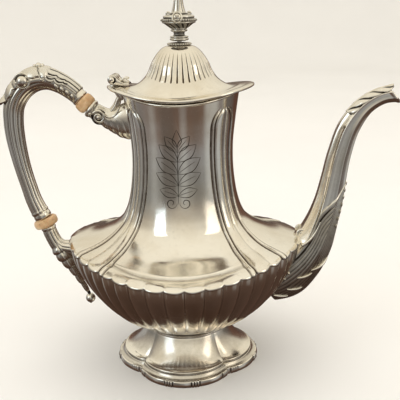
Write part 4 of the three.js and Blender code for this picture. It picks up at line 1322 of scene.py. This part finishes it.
def make_world():
    """A room that mostly shows in the silver: cream ceiling, grey walls, warm dark wood low down."""
    world = bpy.data.worlds.new("room")
    bpy.context.scene.world = world
    n = Nodes(world)
    split = n.add("ShaderNodeSeparateXYZ")
    n.set(split.inputs[0], n.places["Generated"])
    x, y, z = split.outputs
    level = n.math("MULTIPLY_ADD", z, 0.5, 0.5)
    front = [
        (0.0, (0.06, 0.035, 0.025)), (0.2, (0.09, 0.055, 0.04)), (0.28, (0.16, 0.11, 0.085)),
        (0.35, (0.26, 0.25, 0.25)), (0.46, (0.22, 0.22, 0.21)), (0.58, (0.44, 0.40, 0.34)),
        (0.74, (0.82, 0.765, 0.64)), (1.0, (0.94, 0.88, 0.74)),
    ]
    rear = [
        (0.0, (0.06, 0.035, 0.025)), (0.40, (0.10, 0.05, 0.035)), (0.55, (0.16, 0.09, 0.065)),
        (0.62, (0.76, 0.71, 0.59)), (1.0, (0.94, 0.88, 0.74)),
    ]
    behind = n.grey(n.math("MULTIPLY_ADD", y, 0.5, 0.5), 0, 1, 0.66, 0.86)
    room = n.mix(behind, n.ramp(level, front), n.ramp(level, rear))
    # Upright dark and light furniture round the room, below eye level.
    turned = n.math("ARCTAN2", x, n.math("MULTIPLY", y, -1.0))
    wave = n.math("SINE", n.math("MULTIPLY_ADD", turned, 5.0, 0.9))
    slow = n.math("SINE", n.math("MULTIPLY_ADD", turned, 2.0, -0.5))
    both = n.math("MULTIPLY_ADD", wave, 0.24, n.math("MULTIPLY_ADD", slow, 0.16, 0.5))
    band = n.ramp(level, [(0.2, (0, 0, 0)), (0.3, (1, 1, 1)), (0.5, (1, 1, 1)), (0.6, (0, 0, 0))])
    dark = ((1, 0, 0.25, 0.5), (0.10, 0.085, 0.075))
    light = ((0, 1, 0.6, 0.78), (0.50, 0.51, 0.50))
    for greys, colour in (dark, light):
        share = n.math("MULTIPLY", n.math("MULTIPLY", n.grey(both, *greys), band), 0.75)
        room = n.mix(share, room, colour)
    n.set(n.tree.nodes["Background"].inputs["Color"], room)
    n.tree.nodes["Background"].inputs["Strength"].default_value = 1.0


def make_light(name, place, target, size, power, colour, in_silver=True):
    """A soft rectangular light. in_silver is False when the silver must not mirror it."""
    lamp = bpy.data.lights.new(name, "AREA")
    lamp.shape = "RECTANGLE"
    lamp.size, lamp.size_y = size
    lamp.energy = power
    lamp.color = colour
    holder = put(name, lamp)
    holder.location = place
    holder.rotation_euler = (Vector(target) - Vector(place)).to_track_quat("-Z", "Y").to_euler()
    holder.visible_glossy = in_silver


# Fitted to points of the photograph: millimetres from the pot's axis, and radians.
CAMERA_PLACE = (42.4125, -441.584, 236.5108)
CAMERA_TURN = (-0.0716, 0.2743, -0.0219)
FOCAL_PIXELS, PHOTO_PIXELS = 693.656, 400
SENSOR = 36


def make_camera():
    """The view from slightly above, a little to the spout's side of the front."""
    x, y, z = CAMERA_PLACE
    yaw, pitch, roll = CAMERA_TURN
    matrix = Matrix.Translation((x * MM + AXIS_X, y * MM, z * MM))
    for angle, axis in ((-yaw, "Z"), (math.pi / 2 - pitch, "X"), (roll, "Z")):
        matrix = matrix @ Matrix.Rotation(angle, 4, axis)
    camera = bpy.data.cameras.new("view")
    camera.sensor_width = SENSOR
    camera.lens = FOCAL_PIXELS / PHOTO_PIXELS * SENSOR
    camera.clip_start = 0.01
    holder = put("view", camera)
    holder.matrix_world = matrix
    bpy.context.scene.camera = holder


bpy.context.scene.view_settings.view_transform = "Standard"
make_camera()
make_stage()
make_world()
make_light("ceiling", (-0.1, 0.0, 1.9), (0, 0, 0.1), (3.0, 2.6), 24, (1, 0.96, 0.9), in_silver=False)
make_light("window", (-1.2, -1.0, 0.75), (0, 0, 0.15), (0.7, 1.0), 2.8, (0.74, 0.88, 1.0))
make_light("lamp", (1.2, -0.5, 0.6), (0, 0, 0.15), (0.5, 1.0), 1.7, (1, 0.92, 0.8))

make_foot_moulding()
make_foot_dome()
make_foot_collar()
make_bowl()
make_upper_body()
make_mouth_wire()
make_engraving()
make_spout()
make_spout_leaves()
make_spout_hood()
make_washer("upper_bone_washer", UPPER)
make_washer("lower_bone_washer", LOWER)
make_grip()
make_thumb_leaf()
make_upper_socket()
make_lower_socket()
make_lid()
make_hinge()
make_finial_collar()
make_finial()

bpy.context.view_layer.update()
